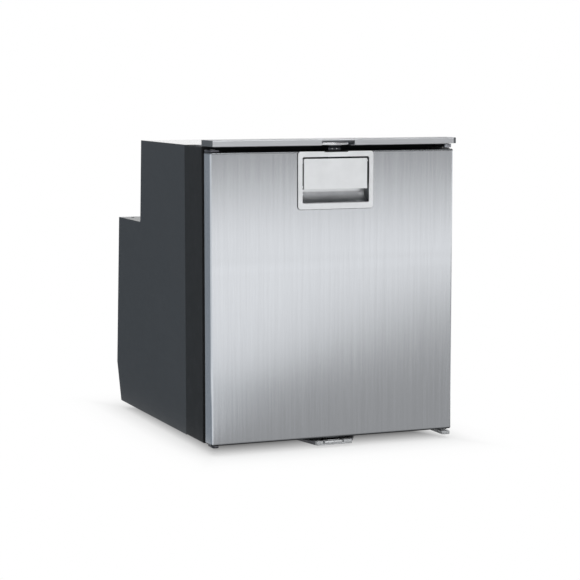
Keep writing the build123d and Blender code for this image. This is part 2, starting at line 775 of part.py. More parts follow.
def make_shelf(name, z):
    """Wire shelf: a flat-bar frame with round wires laid from front to back."""
    bar = SHELF_BAR
    depth = SHELF_BACK - SHELF_FRONT
    mid_y = (SHELF_FRONT + SHELF_BACK) / 2
    pitch = (2 * SHELF_X - bar) / (WIRE_COUNT + 1)
    with BuildPart() as shelf:
        with BuildSketch(level(z - bar / 2)):
            with Locations((0, mid_y)):
                RectangleRounded(2 * SHELF_X, depth, 5.0)
                half_gap = (depth - 3 * bar) / 2
                with GridLocations(1.0, half_gap + bar, 1, 2):
                    Rectangle(2 * (SHELF_X - bar), half_gap, mode=Mode.SUBTRACT)
        extrude(amount=bar)
        with Locations((0, mid_y, z + 0.6)):
            with GridLocations(pitch, 1.0, WIRE_COUNT, 1):
                Cylinder(WIRE_R, depth - bar, rotation=(90, 0, 0))
    shelf.part.label = name
    export_step(shelf.part, f"parts/{name}.step")


def make_crisper_drawer():
    """Vegetable drawer with a rolled grip along its front edge."""
    with BuildPart() as crisper_drawer:
        block((-DRAWER_X, DRAWER_FRONT, DRAWER_Z0), (DRAWER_X, DRAWER_BACK, DRAWER_Z1))
        fillet(crisper_drawer.edges().filter_by(Axis.Y).group_by(Axis.Z)[0], 14.0)
        fillet(crisper_drawer.edges().filter_by(Axis.Z), 10.0)
        top = crisper_drawer.faces().sort_by(Axis.Z)[-1]
        offset(amount=-DRAWER_WALL, openings=top)
        grip_low = (-70.0, DRAWER_FRONT - 5.5, DRAWER_Z1 - 9.0)
        block(grip_low, (70.0, DRAWER_FRONT + 1.0, DRAWER_Z1 - 4.0))
    crisper_drawer.part.label = "crisper_drawer"
    export_step(crisper_drawer.part, "parts/crisper_drawer.step")


def make_control_housing():
    """Control unit on the cavity's ceiling, with two button wells and a lamp slot."""
    mid_z = middle(PANEL_Z)
    with BuildPart() as control_housing:
        block((-PANEL_X, PANEL_Y, PANEL_Z[0]), (PANEL_X, PANEL_Y + PANEL_D, PANEL_Z[1]))
        fillet(control_housing.edges().filter_by(Axis.Y).group_by(Axis.Z)[0], 5.0)
        for x in BUTTON_X:
            rod((x, PANEL_Y - 1, mid_z), BUTTON_R + 0.25, 9.0, "y", mode=Mode.SUBTRACT)
        lamp_low = (-LAMP_X, LAMP_Y[0], PANEL_Z[0] - 1)
        block(lamp_low, (LAMP_X, LAMP_Y[1], PANEL_Z[0] + 2.5), mode=Mode.SUBTRACT)
    control_housing.part.label = "control_housing"
    export_step(control_housing.part, "parts/control_housing.step")


def make_button(name, x):
    """Round push button standing a little out of the control unit."""
    with BuildPart() as button:
        rod((x, PANEL_Y - BUTTON_OUT, middle(PANEL_Z)), BUTTON_R, 7.5, "y")
        fillet(button.edges().sort_by(Axis.Y)[0], 1.0)
    button.part.label = name
    export_step(button.part, f"parts/{name}.step")


def make_lamp_lens():
    with BuildPart() as lamp_lens:
        gap = 0.2
        low = (-LAMP_X + gap, LAMP_Y[0] + gap, PANEL_Z[0] - 1.0)
        block(low, (LAMP_X - gap, LAMP_Y[1] - gap, PANEL_Z[0] + 2.5))
        fillet(lamp_lens.edges().group_by(Axis.Z)[0], 0.8)
    lamp_lens.part.label = "lamp_lens"
    export_step(lamp_lens.part, "parts/lamp_lens.step")


def make_temperature_sensor():
    """Probe in a clip on the liner's right wall."""
    with BuildPart() as temperature_sensor:
        block((CAVITY_X - 6, -40.0, 318.0), (CAVITY_X, 0.0, 326.0))
        rod((CAVITY_X - 7, -52.0, 322.0), 2.5, 64.0, "y")
    temperature_sensor.part.label = "temperature_sensor"
    export_step(temperature_sensor.part, "parts/temperature_sensor.step")


def compressor_feet():
    """Places in X and Y of the four mounts under the compressor."""
    half_x = 48.0
    half_y = 44.0
    return [
        (COMPRESSOR_X + sx * half_x, COMPRESSOR_Y + sy * half_y)
        for sx in (-1, 1)
        for sy in (-1, 1)
    ]


def make_compressor():
    """Welded steel shell in two halves on a base plate, with its pipe stubs."""
    top = COMPRESSOR_Z0 + COMPRESSOR_H
    x = COMPRESSOR_X
    r = COMPRESSOR_R
    outer = [
        (0, COMPRESSOR_Z0),
        (r - 22, COMPRESSOR_Z0),
        (r - 3, COMPRESSOR_Z0 + 20),
        (r - 3, COMPRESSOR_Z0 + 66),
        (r, COMPRESSOR_Z0 + 68),
        (r, COMPRESSOR_Z0 + 76),
        (r - 3, COMPRESSOR_Z0 + 78),
        (r - 3, top - 34),
        (r - 26, top),
        (0, top),
    ]
    wall = 5.0
    inner = [
        (0, COMPRESSOR_Z0 + wall),
        (r - 24, COMPRESSOR_Z0 + wall),
        (r - 3 - wall, COMPRESSOR_Z0 + 22),
        (r - 3 - wall, top - 35),
        (r - 28, top - wall),
        (0, top - wall),
    ]
    with BuildPart() as compressor:
        with BuildSketch(Plane.XZ.offset(-COMPRESSOR_Y)):
            with Locations((x, 0)):
                Polygon(*outer, align=None)
                Polygon(*inner, align=None, mode=Mode.SUBTRACT)
        revolve(axis=Axis((x, COMPRESSOR_Y, 0), (0, 0, 1)))
        base_low = (x - 58, COMPRESSOR_Y - 54, COMPRESSOR_Z0 - 2.5)
        base_high = (x + 58, COMPRESSOR_Y + 54, COMPRESSOR_Z0 + 0.5)
        block(base_low, base_high)
        for place in compressor_feet():
            rod((*place, COMPRESSOR_Z0 - 5), 5.0, 8.0, "z", mode=Mode.SUBTRACT)
        for stub_x in (SUCTION_X, DISCHARGE_X):
            rod((stub_x, COMPRESSOR_Y, top - 1), 3.6, STUB_UP + 1, "z")
    compressor.part.label = "compressor"
    export_step(compressor.part, "parts/compressor.step")


def make_compressor_mounts():
    """Four rubber grommets under the compressor's base plate."""
    low_z = CAB_Z0 + SHEET
    with BuildPart() as compressor_mounts:
        for x, y in compressor_feet():
            rod((x, y, low_z), 9.0, COMPRESSOR_Z0 - 2.5 - low_z, "z")
            rod((x, y, low_z), 4.9, COMPRESSOR_Z0 + 3 - low_z, "z")
            rod((x, y, COMPRESSOR_Z0 + 0.5), 8.0, 3.0, "z")
    compressor_mounts.part.label = "compressor_mounts"
    export_step(compressor_mounts.part, "parts/compressor_mounts.step")


def make_electronics_module():
    """Drive electronics in a ribbed box on the machine room's wall."""
    with BuildPart() as electronics_module:
        block((150.0, STEP_Y, 215.0), (214.0, STEP_Y + 34, 300.0))
        fillet(electronics_module.edges().filter_by(Axis.Y), 3.0)
        with Locations((182.0, STEP_Y + 36, 257.5)):
            with GridLocations(7.0, 1.0, 8, 1):
                Box(2.0, 6.0, 76.0)
    electronics_module.part.label = "electronics_module"
    export_step(electronics_module.part, "parts/electronics_module.step")


def make_fan_frame():
    """Square fan frame with a round throat, four struts and the motor."""
    half = 64.0
    depth = 25.0
    with BuildPart() as fan_frame:
        with BuildSketch(front_plane(FAN_Y)):
            with Locations((FAN_X, FAN_Z)):
                RectangleRounded(2 * half, 2 * half, 6.0)
                Circle(FAN_R + 2.5, mode=Mode.SUBTRACT)
        extrude(amount=-depth)
        with BuildSketch(front_plane(FAN_Y)):
            with Locations((FAN_X, FAN_Z)):
                Circle(17.0)
                with PolarLocations(38.0, 4, start_angle=45):
                    Rectangle(44.0, 5.0)
        extrude(amount=-4.0)
        foot = FAN_Z - half
        arm = [
            (STEP_Y, foot + 10),
            (FAN_Y + 8, foot + 4),
            (FAN_Y + 8, foot + 0.5),
            (STEP_Y, foot - 6),
        ]
        with BuildSketch(side_plane(FAN_X - half + 8)):
            Polygon(*arm, align=None)
        extrude(amount=2 * half - 16)
        rod((FAN_X, FAN_Y, FAN_Z), SPINDLE_R, 14.0, "y")
    fan_frame.part.label = "fan_frame"
    export_step(fan_frame.part, "parts/fan_frame.step")


def make_fan_rotor():
    """Fan hub with seven pitched blades, running on the motor's spindle."""
    blades = 7
    blade_pitch = 38.0
    hub_y = FAN_Y + 5.0
    hub_d = 16.0
    with BuildPart() as fan_rotor:
        rod((FAN_X, hub_y, FAN_Z), 18.0, hub_d, "y")
        rod((FAN_X, FAN_Y, FAN_Z), SPINDLE_R + RUN, 14.5, "y", mode=Mode.SUBTRACT)
        for i in range(blades):
            turn = Location((FAN_X, hub_y + hub_d / 2, FAN_Z), (0, i * 360.0 / blades, 0))
            with Locations(turn):
                with Locations(Location((35.0, 0, 0), (blade_pitch, 0, 0))):
                    Box(38.0, 1.6, 22.0)
    fan_rotor.part.label = "fan_rotor"
    export_step(fan_rotor.part, "parts/fan_rotor.step")


def pass_z(i):
    """Height of one straight pass of the condenser tube."""
    return FIN_Z[0] + PASS_PITCH / 2 + 1 + i * PASS_PITCH


def make_condenser_fins():
    """Stack of thin fins, each with a hole for every pass of the tube."""
    mid_y = middle(FIN_Y)
    pitch = span(FIN_X) / (FIN_COUNT - 1)
    with BuildPart() as fin:
        with BuildSketch(side_plane(0)):
            with Locations((mid_y, middle(FIN_Z))):
                Rectangle(span(FIN_Y), span(FIN_Z))
            with Locations(*[(mid_y, pass_z(k)) for k in range(PASSES)]):
                Circle(TUBE_R + RUN, mode=Mode.SUBTRACT)
        extrude(amount=FIN_T)
    with BuildPart() as condenser_fins:
        with Locations((middle(FIN_X), 0, 0)):
            with GridLocations(pitch, 1.0, FIN_COUNT, 1):
                add(fin.part)
    condenser_fins.part.label = "condenser_fins"
    export_step(condenser_fins.part, "parts/condenser_fins.step")


def make_pipe(name, points, radii, radius):
    """Pipe along straight runs joined by arcs, with its volume set against its length."""
    with BuildPart() as pipe:
        with BuildLine() as route:
            FilletPolyline(*points, radius=radii)
        path = route.wire()
        with BuildSketch(Plane(origin=path @ 0, z_dir=path % 0)):
            Circle(radius)
        sweep(path=path)
    wanted = math.pi * radius**2 * path.length
    share = pipe.part.volume / wanted
    print(name, "length", round(path.length, 1), "volume share", round(share, 4))
    pipe.part.label = name
    export_step(pipe.part, f"parts/{name}.step")


def make_condenser_tube():
    """Serpentine tube through the fins, from its top inlet to its bottom outlet."""
    y = middle(FIN_Y)
    left = FIN_X[0] - 14.0
    right = FIN_X[1] + 14.0
    points = [(right + 10, y, pass_z(PASSES - 1))]
    for i in reversed(range(PASSES)):
        end = left if (PASSES - 1 - i) % 2 == 0 else right
        if i > 0:
            points.append((end, y, pass_z(i)))
            points.append((end, y, pass_z(i - 1)))
    points.append((right + 10, y, pass_z(0)))
    make_pipe("condenser_tube", points, 9.0, TUBE_R)


def make_discharge_pipe():
    """Hot pipe from the compressor's top to the condenser's upper end."""
    y = middle(FIN_Y)
    top = COMPRESSOR_Z0 + COMPRESSOR_H + STUB_UP
    points = [
        (DISCHARGE_X, COMPRESSOR_Y, top),
        (DISCHARGE_X, COMPRESSOR_Y, top + 80),
        (COMPRESSOR_X - 30, y, top + 96),
        (COMPRESSOR_X - 75, y, pass_z(PASSES - 1)),
        (FIN_X[1] + 24, y, pass_z(PASSES - 1)),
    ]
    make_pipe("discharge_pipe", points, [14.0, 14.0, 14.0], DISCHARGE_R)


def make_filter_drier():
    """Drier cartridge on the condenser's outlet, tapered at both ends."""
    y = middle(FIN_Y)
    x = FIN_X[1] + 24.0
    z = pass_z(0)
    profile = [(0, 0), (3.2, 0), (3.2, 6), (9, 11), (9, 43), (1.8, 50), (1.8, 54), (0, 54)]
    with BuildPart() as filter_drier:
        with BuildSketch(Plane(origin=(x, y, z), x_dir=(0, 0, 1), z_dir=(0, 1, 0))):
            with BuildLine():
                Polyline(*profile, close=True)
            make_face()
        revolve(axis=Axis((x, y, z), (1, 0, 0)))
    filter_drier.part.label = "filter_drier"
    export_step(filter_drier.part, "parts/filter_drier.step")


def make_capillary_tube():
    """Thin tube from the drier, over the suction pipe and through the duct."""
    y = middle(FIN_Y)
    z = pass_z(0)
    start = FIN_X[1] + 78.0
    wall = STEP_Y + 20.0
    over = DUCT_FOOT_Z + 7.0
    x = DUCT_X + 5.0
    points = [
        (start, y, z),
        (start + 10, y, z),
        (start + 10, y, z + 70.0),
        (start - 18, wall, z + 130.0),
        (start - 58, wall, over),
        (x, wall, over),
        (x, 96.0, over),
        (x, 96.0, DUCT_Z),
        (x, EVAPORATOR_BACK, DUCT_Z),
    ]
    make_pipe("capillary_tube", points, [6.0, 12.0, 12.0, 12.0, 12.0, 8.0, 8.0], CAPILLARY_R)


def make_suction_pipe():
    """Cold pipe from the evaporator, through the duct, to the compressor's top."""
    top = COMPRESSOR_Z0 + COMPRESSOR_H + STUB_UP
    wall = STEP_Y + 12.0
    x = DUCT_X - 4.0
    points = [
        (SUCTION_X, COMPRESSOR_Y, top),
        (SUCTION_X, COMPRESSOR_Y, top + 60),
        (COMPRESSOR_X - 70, wall, DUCT_FOOT_Z),
        (x, wall, DUCT_FOOT_Z),
        (x, 90.0, DUCT_FOOT_Z),
        (x, 90.0, DUCT_Z),
        (x, EVAPORATOR_BACK, DUCT_Z),
    ]
    make_pipe("suction_pipe", points, [20.0, 20.0, 8.0, 10.0, 10.0], SUCTION_R)


def make_cable_gland():
    """Gland for the low-voltage lead, in the slanted foot of the rear cover."""
    inner = -4.0
    tip = 13.0
    profile = [
        (LEAD_R, inner),
        (GLAND_R, inner),
        (GLAND_R, 0),
        (9.0, 0),
        (9.0, 5.0),
        (7.0, 6.0),
        (6.2, tip),
        (LEAD_R, tip),
    ]
    across = GLAND_OUT.cross(Vector(-1, 0, 0))
    with BuildPart() as cable_gland:
        with BuildSketch(Plane(origin=GLAND_SEAT, x_dir=(1, 0, 0), z_dir=across)):
            with BuildLine():
                Polyline(*profile, close=True)
            make_face()
        revolve(axis=Axis(GLAND_SEAT, GLAND_OUT))
    cable_gland.part.label = "cable_gland"
    export_step(cable_gland.part, "parts/cable_gland.step")


def make_door_skin():
    """Stainless sheet folded back on all four sides, cut out for the handle."""
    mid_z = (DOOR_Z0 + DOOR_Z1) / 2
    depth = DOOR_T - 2.5
    with BuildPart() as door_skin:
        with BuildSketch(front_plane(DOOR_Y0)):
            with Locations((0, mid_z)):
                Rectangle(DOOR_W, DOOR_H)
        extrude(amount=-depth)
        front = door_skin.faces().sort_by(Axis.Y)[0]
        fillet(front.edges().filter_by(Axis.Z), EDGE_R)
        front = door_skin.faces().sort_by(Axis.Y)[0]
        fillet(front.edges().filter_by(Axis.X), TOP_EDGE_R)
        back = door_skin.faces().sort_by(Axis.Y)[-1]
        offset(amount=-SKIN, openings=back)
        cup_w = span(OPEN_X) + 2 * CUP_WALL + 0.6
        cup_h = span(OPEN_Z) + 2 * CUP_WALL + 0.6
        with BuildSketch(front_plane(DOOR_Y0 - 1)):
            with Locations((middle(OPEN_X), middle(OPEN_Z))):
                Rectangle(cup_w, cup_h)
        extrude(amount=-5.0, mode=Mode.SUBTRACT)
        nose_low = (NOSE_X[0] - 4, DOOR_Y0 + 3, DOOR_Z1 - 3)
        nose_high = (NOSE_X[1] + 4, DOOR_Y0 + 17, DOOR_Z1 + 3)
        block(nose_low, nose_high, mode=Mode.SUBTRACT)
        foot_low = (NOSE_X[0] - 1, DOOR_Y0 + 8, DOOR_Z0 - 3)
        foot_high = (NOSE_X[1] + 1, DOOR_Y1, DOOR_Z0 + 3)
        block(foot_low, foot_high, mode=Mode.SUBTRACT)
        for z in (DOOR_Z0, DOOR_Z1):
            rod((HINGE_X, HINGE_Y, z - 3), BUSH_R + 0.2, 6.0, "z", mode=Mode.SUBTRACT)
    door_skin.part.label = "door_skin"
    export_step(door_skin.part, "parts/door_skin.step")


def make_door_foam():
    """Foam in the door, cut out for the handle cup, the latches and the bushes."""
    gap = SKIN + 0.2
    side_x = DOOR_X - gap
    low_z = DOOR_Z0 + gap
    high_z = DOOR_Z1 - gap
    with BuildPart() as door_foam:
        front = DOOR_Y0 + gap
        block((-side_x + 3, front, low_z + 1.5), (side_x - 3, DOOR_Y1 - 2.7, high_z - 1.5))
        cup_low = (OPEN_X[0] - 4, front - 1, OPEN_Z[0] - 4)
        cup_high = (OPEN_X[1] + 4, CUP_BACK + 0.5, OPEN_Z[1] + 4)
        block(cup_low, cup_high, mode=Mode.SUBTRACT)
        top_low = (NOSE_X[0] - 3, DOOR_Y0 + 3, OPEN_Z[1] - 2)
        block(top_low, (NOSE_X[1] + 3, DOOR_Y0 + 24, high_z + 1), mode=Mode.SUBTRACT)
        foot_low = (NOSE_X[0] - 1, DOOR_Y0 + 8, low_z)
        block(foot_low, (NOSE_X[1] + 1, DOOR_Y1, DOOR_Z0 + 16), mode=Mode.SUBTRACT)
        channel_low = (ROD_X - 3, LATCH_ROD_Y - 2.2, low_z)
        block(channel_low, (ROD_X + 3, DOOR_Y1, 484.0), mode=Mode.SUBTRACT)
        for z in (DOOR_Z0, DOOR_Z1 - 20.0):
            rod((HINGE_X, HINGE_Y, z), BUSH_R + 0.2, 20.0, "z", mode=Mode.SUBTRACT)
    door_foam.part.label = "door_foam"
    export_step(door_foam.part, "parts/door_foam.step")


def make_door_liner():
    """Formed inner face of the door with two tall ribs that carry the bins."""
    inner_x = DOOR_X - SKIN - 0.4
    low_z = DOOR_Z0 + SKIN + 0.4
    high_z = DOOR_Z1 - SKIN - 0.4
    with BuildPart() as door_liner:
        block((-inner_x, DOOR_Y1 - 2.4, low_z), (inner_x, DOOR_Y1, high_z))
        with BuildSketch(front_plane(DOOR_Y1)):
            for side in (-1, 1):
                with Locations((side * middle(RIB_X), middle(RIB_Z))):
                    RectangleRounded(span(RIB_X), span(RIB_Z), 5.0)
        extrude(amount=-RIB_D)
        peg = 7.0
        for side in (-1, 1):
            peg_x = min(side * RIB_X[0], side * (RIB_X[0] - peg))
            for z in (BOTTLE_Z[0], SMALL_Z[0]):
                block((peg_x, DOOR_Y1, z - 6.0), (peg_x + peg, DOOR_Y1 + RIB_D - 4, z))
    door_liner.part.label = "door_liner"
    export_step(door_liner.part, "parts/door_liner.step")


def make_door_gasket():
    """Magnetic gasket: a wide foot on the door and a narrower band to the cabinet."""
    mid_z = (LINER_Z0 + LINER_Z1) / 2
    front_gap = 0.3
    foot = 4.0
    wide = 416.0
    tall = 470.0
    with BuildPart() as door_gasket:
        with BuildSketch(front_plane(DOOR_Y1)):
            with Locations((0, mid_z)):
                RectangleRounded(wide, tall, 12.0)
                RectangleRounded(wide - 38, tall - 38, 8.0, mode=Mode.SUBTRACT)
        extrude(amount=-foot)
        with BuildSketch(front_plane(DOOR_Y1 + foot)):
            with Locations((0, mid_z)):
                RectangleRounded(wide - 6, tall - 6, 11.0)
                RectangleRounded(wide - 28, tall - 28, 9.0, mode=Mode.SUBTRACT)
        extrude(amount=-(CAB_Y0 - front_gap - DOOR_Y1 - foot))
    door_gasket.part.label = "door_gasket"
    export_step(door_gasket.part, "parts/door_gasket.step")


def make_bin(name, heights, front, bar_z):
    """Open door bin that rests on pegs between the ribs, with a retaining lip."""
    back = DOOR_Y1 + 0.3
    wall = 2.2
    with BuildPart() as bin_part:
        block((-BIN_X, back, heights[0]), (BIN_X, front, heights[1]))
        fillet(bin_part.edges().filter_by(Axis.Z).group_by(Axis.Y)[-1], 14.0)
        fillet(bin_part.edges().filter_by(Axis.X).group_by(Axis.Y)[-1].sort_by(Axis.Z)[0], 6.0)
        with BuildSketch(level(heights[0] + wall)):
            with Locations((0, (back + front) / 2)):
                RectangleRounded(2 * (BIN_X - wall), front - back - 2 * wall, 14.0 - wall)
        extrude(amount=heights[1], mode=Mode.SUBTRACT)
        cut_low = (-BIN_X + 16, back - 1, bar_z)
        block(cut_low, (BIN_X - 16, back + wall + 1, heights[1] + 1), mode=Mode.SUBTRACT)
    bin_part.part.label = name
    export_step(bin_part.part, f"parts/{name}.step")


def make_handle_frame():
    """Bright frame round the handle, a little proud of the door."""
    centre = (middle(FRAME_X), middle(FRAME_Z))
    with BuildPart() as handle_frame:
        with BuildSketch(front_plane(FRAME_Y0)):
            with Locations(centre):
                RectangleRounded(span(FRAME_X), span(FRAME_Z), 5.0)
            with Locations((middle(OPEN_X), middle(OPEN_Z))):
                RectangleRounded(span(OPEN_X), span(OPEN_Z), 3.0, mode=Mode.SUBTRACT)
        extrude(amount=-(DOOR_Y0 - FRAME_Y0))
        rim = handle_frame.faces().sort_by(Axis.Y)[0].outer_wire().edges()
        fillet(rim, 0.7)
        dip_low = (NOSE_X[0] - 10, FRAME_Y0 - 1, FRAME_Z[1] - 1.4)
        dip_high = (NOSE_X[1] + 11, DOOR_Y0, FRAME_Z[1] + 1)
        block(dip_low, dip_high, mode=Mode.SUBTRACT)
    handle_frame.part.label = "handle_frame"
    export_step(handle_frame.part, "parts/handle_frame.step")


def make_handle_cup():
    """Recess behind the handle: straight walls and a hollow that carries the scoop."""
    low_x = OPEN_X[0] - CUP_WALL
    high_x = OPEN_X[1] + CUP_WALL
    low_z = OPEN_Z[0] - CUP_WALL
    high_z = OPEN_Z[1] + CUP_WALL
    outline = [
        SCOOP[-1],
        (DOOR_Y0 - 1, OPEN_Z[0]),
        (DOOR_Y0 - 1, OPEN_Z[1]),
        (SCOOP[0][0], OPEN_Z[1]),
        SCOOP[0],
    ]
    with BuildPart() as handle_cup:
        block((low_x, DOOR_Y0, low_z), (high_x, CUP_BACK, high_z))
        with BuildSketch(side_plane(OPEN_X[0])):
            with BuildLine():
                Polyline(*outline)
                ThreePointArc(*SCOOP)
            make_face()
        extrude(amount=span(OPEN_X), mode=Mode.SUBTRACT)
        slot_low = (NOSE_X[0] - 2, DOOR_Y0 + 4, OPEN_Z[1] - 1)
        block(slot_low, (NOSE_X[1] + 2, DOOR_Y0 + 14, high_z + 1), mode=Mode.SUBTRACT)
        for start in (OPEN_X[0] - CUP_WALL - 1, OPEN_X[1] - 1):
            hole = (start, HANDLE_AXIS_Y, HANDLE_AXIS_Z)
            rod(hole, TRUNNION_R + RUN, CUP_WALL + 2, "x", mode=Mode.SUBTRACT)
    handle_cup.part.label = "handle_cup"
    export_step(handle_cup.part, "parts/handle_cup.step")


def make_handle_scoop():
    """Thin satin lining of the scoop, with a flat lip that runs forward to the frame."""
    side_gap = 0.1
    top, bottom, foot = SCOOP
    lip_y = DOOR_Y0 + 1.2
    slope = Vector(foot[0] - top[0], foot[1] - top[1]).normalized()
    inward = (slope.Y * SCOOP_T, -slope.X * SCOOP_T)
    inner = [
        (top[0] - SCOOP_T, top[1]),
        (bottom[0] + inward[0], bottom[1] + inward[1]),
        (foot[0], foot[1] + SCOOP_T),
    ]
    with BuildPart() as handle_scoop:
        with BuildSketch(side_plane(OPEN_X[0] + side_gap)):
            with BuildLine():
                ThreePointArc(*SCOOP)
                Polyline(foot, (lip_y, foot[1]), (lip_y, foot[1] + SCOOP_T), inner[-1])
                ThreePointArc(*inner)
                Line(inner[0], top)
            make_face()
        extrude(amount=span(OPEN_X) - 2 * side_gap)
    handle_scoop.part.label = "handle_scoop"
    export_step(handle_scoop.part, "parts/handle_scoop.step")


def make_handle_flap():
    """Pull flap with a curled lower lip, two ears and a stub pin at each end."""
    front = FRAME_Y0
    back = front + HANDLE_T
    ear = 10.0
    with BuildPart() as handle_flap:
        block((HANDLE_X[0], front, HANDLE_Z[0]), (HANDLE_X[1], back, HANDLE_Z[1]))
        block((HANDLE_X[0], back, HANDLE_Z[0]), (HANDLE_X[1], back + 3.5, HANDLE_Z[0] + 2.5))
        for x0 in (HANDLE_X[0], HANDLE_X[1] - ear):
            block((x0, back, HANDLE_AXIS_Z - 4), (x0 + ear, HANDLE_AXIS_Y + 3.5, HANDLE_Z[1]))
        edges = handle_flap.faces().sort_by(Axis.Y)[0].edges()
        fillet(edges, 0.8)
        for x0 in (HANDLE_X[0] - 4.2, HANDLE_X[1] - 1.0):
            rod((x0, HANDLE_AXIS_Y, HANDLE_AXIS_Z), TRUNNION_R, 5.2, "x")
    handle_flap.part.label = "handle_flap"
    export_step(handle_flap.part, "parts/handle_flap.step")


def make_flap_spring():
    """Small coil spring behind the flap, beside its right ear."""
    pitch = 1.5
    turns = 6
    coil_r = 2.2
    wire_r = 0.35
    start = (30.0, HANDLE_AXIS_Y + 6.0, HANDLE_AXIS_Z - 1.0)
    with BuildPart() as flap_spring:
        with BuildLine() as coil:
            Helix(pitch, pitch * turns, coil_r, center=start, direction=(1, 0, 0))
        path = coil.wire()
        with BuildSketch(Plane(origin=path @ 0, z_dir=path % 0)):
            Circle(wire_r)
        sweep(path=path)
    print("flap_spring least gap", round(pitch - 2 * wire_r, 2))
    flap_spring.part.label = "flap_spring"
    export_step(flap_spring.part, "parts/flap_spring.step")


def make_upper_latch():
    """Nose above the door and the stem that goes down behind the flap."""
    nose_low = (NOSE_X[0], NOSE_Y0, DOOR_Z1 - 1.5)
    stem_low = (NOSE_X[0] + 2, NOSE_Y0, 478.0)
    with BuildPart() as upper_latch:
        block(nose_low, (NOSE_X[1], NOSE_Y0 + NOSE_D, DOOR_Z1 + NOSE_UP))
        top = upper_latch.edges().filter_by(Axis.X).group_by(Axis.Z)[-1]
        chamfer(top, 2.0)
        block(stem_low, (NOSE_X[1] - 2, NOSE_Y0 + 6.0, nose_low[2]))
    upper_latch.part.label = "upper_latch"
    export_step(upper_latch.part, "parts/upper_latch.step")


def make_lower_latch():
    """Nose below the door and its rod, which runs up behind the handle cup."""
    rod_start = DOOR_Z0 + 7.0
    with BuildPart() as lower_latch:
        low = (NOSE_X[0] + 1, NOSE_Y0 + 4.0, DOOR_Z0 - NOSE_DOWN)
        block(low, (NOSE_X[1] - 1, DOOR_Y1 - 3.2, rod_start + 1.0))
        front = lower_latch.edges().filter_by(Axis.X).group_by(Axis.Z)[0].sort_by(Axis.Y)[0]
        chamfer(front, 1.5)
        rod((ROD_X, LATCH_ROD_Y, rod_start), LATCH_ROD_R, 450.0, "z")
    lower_latch.part.label = "lower_latch"
    export_step(lower_latch.part, "parts/lower_latch.step")


def make_door_bushes():
    """Flanged plastic bushes for the two hinge pins."""
    long = 16.0
    bore = long - 3.0
    with BuildPart() as door_bushes:
        for barrel_z, flange_z, bore_z in (
            (DOOR_Z0, DOOR_Z0 - BUSH_FLANGE, DOOR_Z0 - 2),
            (DOOR_Z1 - long, DOOR_Z1, DOOR_Z1 - bore),
        ):
            rod((HINGE_X, HINGE_Y, barrel_z), BUSH_R, long, "z")
            rod((HINGE_X, HINGE_Y, flange_z), BUSH_FLANGE_R, BUSH_FLANGE, "z")
            rod((HINGE_X, HINGE_Y, bore_z), PIN_R + RUN, bore + 2, "z", mode=Mode.SUBTRACT)
    door_bushes.part.label = "door_bushes"
    export_step(door_bushes.part, "parts/door_bushes.step")


def make_spare_hinge_plates():
    """Plates at the door's left corners, for hanging the door on the other side."""
    thick = 3.8
    inner_x = -206.5
    with BuildPart() as spare_hinge_plates:
        for z0 in (DOOR_Z0 - thick, DOOR_Z1):
            block((-DOOR_X, DOOR_Y0 - 0.5, z0), (inner_x, DOOR_Y1 - 2.0, z0 + thick))
            rod((-HINGE_X, HINGE_Y, z0 - 1), PIN_R, thick + 2, "z", mode=Mode.SUBTRACT)
    spare_hinge_plates.part.label = "spare_hinge_plates"
    export_step(spare_hinge_plates.part, "parts/spare_hinge_plates.step")


def make_cabinet():
    make_front_collar()
    make_side_panel("side_panel_left", -CAB_X, 0)
    make_side_panel("side_panel_right", CAB_X - SHEET, -1)
    make_top_panel()
    make_back_panel()
    make_bottom_panel()
    make_rear_cover()
    make_foam_insulation()
    make_inner_liner()
    make_rubber_feet()
    make_rear_spacers()
    make_cabinet_screws()
    make_cable_gland()


def make_rail_and_catches():
    make_top_rail()
    make_rail_end_caps()
    make_rail_plate()
    make_rail_screws()
    make_hinge_bracket_upper()
    make_hinge_bracket_lower()
    make_catch_base_lower()
    make_catch_slide_lower()
    make_catch_slide_upper()


def make_interior():
    make_freezer_shell()
    make_freezer_flap()
    make_evaporator()
    make_drip_tray()
    make_shelf("lower_shelf", SHELF_Z[0])
    make_shelf("upper_shelf", SHELF_Z[1])
    make_crisper_drawer()
    make_control_housing()
    make_button("power_button", BUTTON_X[0])
    make_button("temperature_button", BUTTON_X[1])
    make_lamp_lens()
    make_temperature_sensor()


def make_machine_room():
    make_compressor()
    make_compressor_mounts()
    make_electronics_module()
    make_fan_frame()
    make_fan_rotor()
    make_condenser_fins()
    make_condenser_tube()
    make_discharge_pipe()
    make_filter_drier()
    make_capillary_tube()
    make_suction_pipe()


def make_door():
    make_door_skin()
    make_door_foam()
    make_door_liner()
    make_door_gasket()
    make_bin("bottle_bin", BOTTLE_Z, BOTTLE_FRONT, BOTTLE_Z[0] + 40.0)
    make_bin("small_bin", SMALL_Z, SMALL_FRONT, SMALL_Z[0] + 26.0)
    make_handle_frame()
    make_handle_cup()
    make_handle_scoop()
    make_handle_flap()
    make_flap_spring()
    make_upper_latch()
    make_lower_latch()
    make_door_bushes()
    make_spare_hinge_plates()


make_cabinet()
make_rail_and_catches()
make_interior()
make_machine_room()
make_door()
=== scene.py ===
"""Looks of the compressor refrigerator: its finishes, its small pieces and a plain studio.

Lengths are metres, in the model's own frame: X to the right of the door, Y to the back, Z up.
Colours are linear light: red, green, blue and alpha.
"""
import math

import bpy
from mathutils import Euler, Matrix, Vector


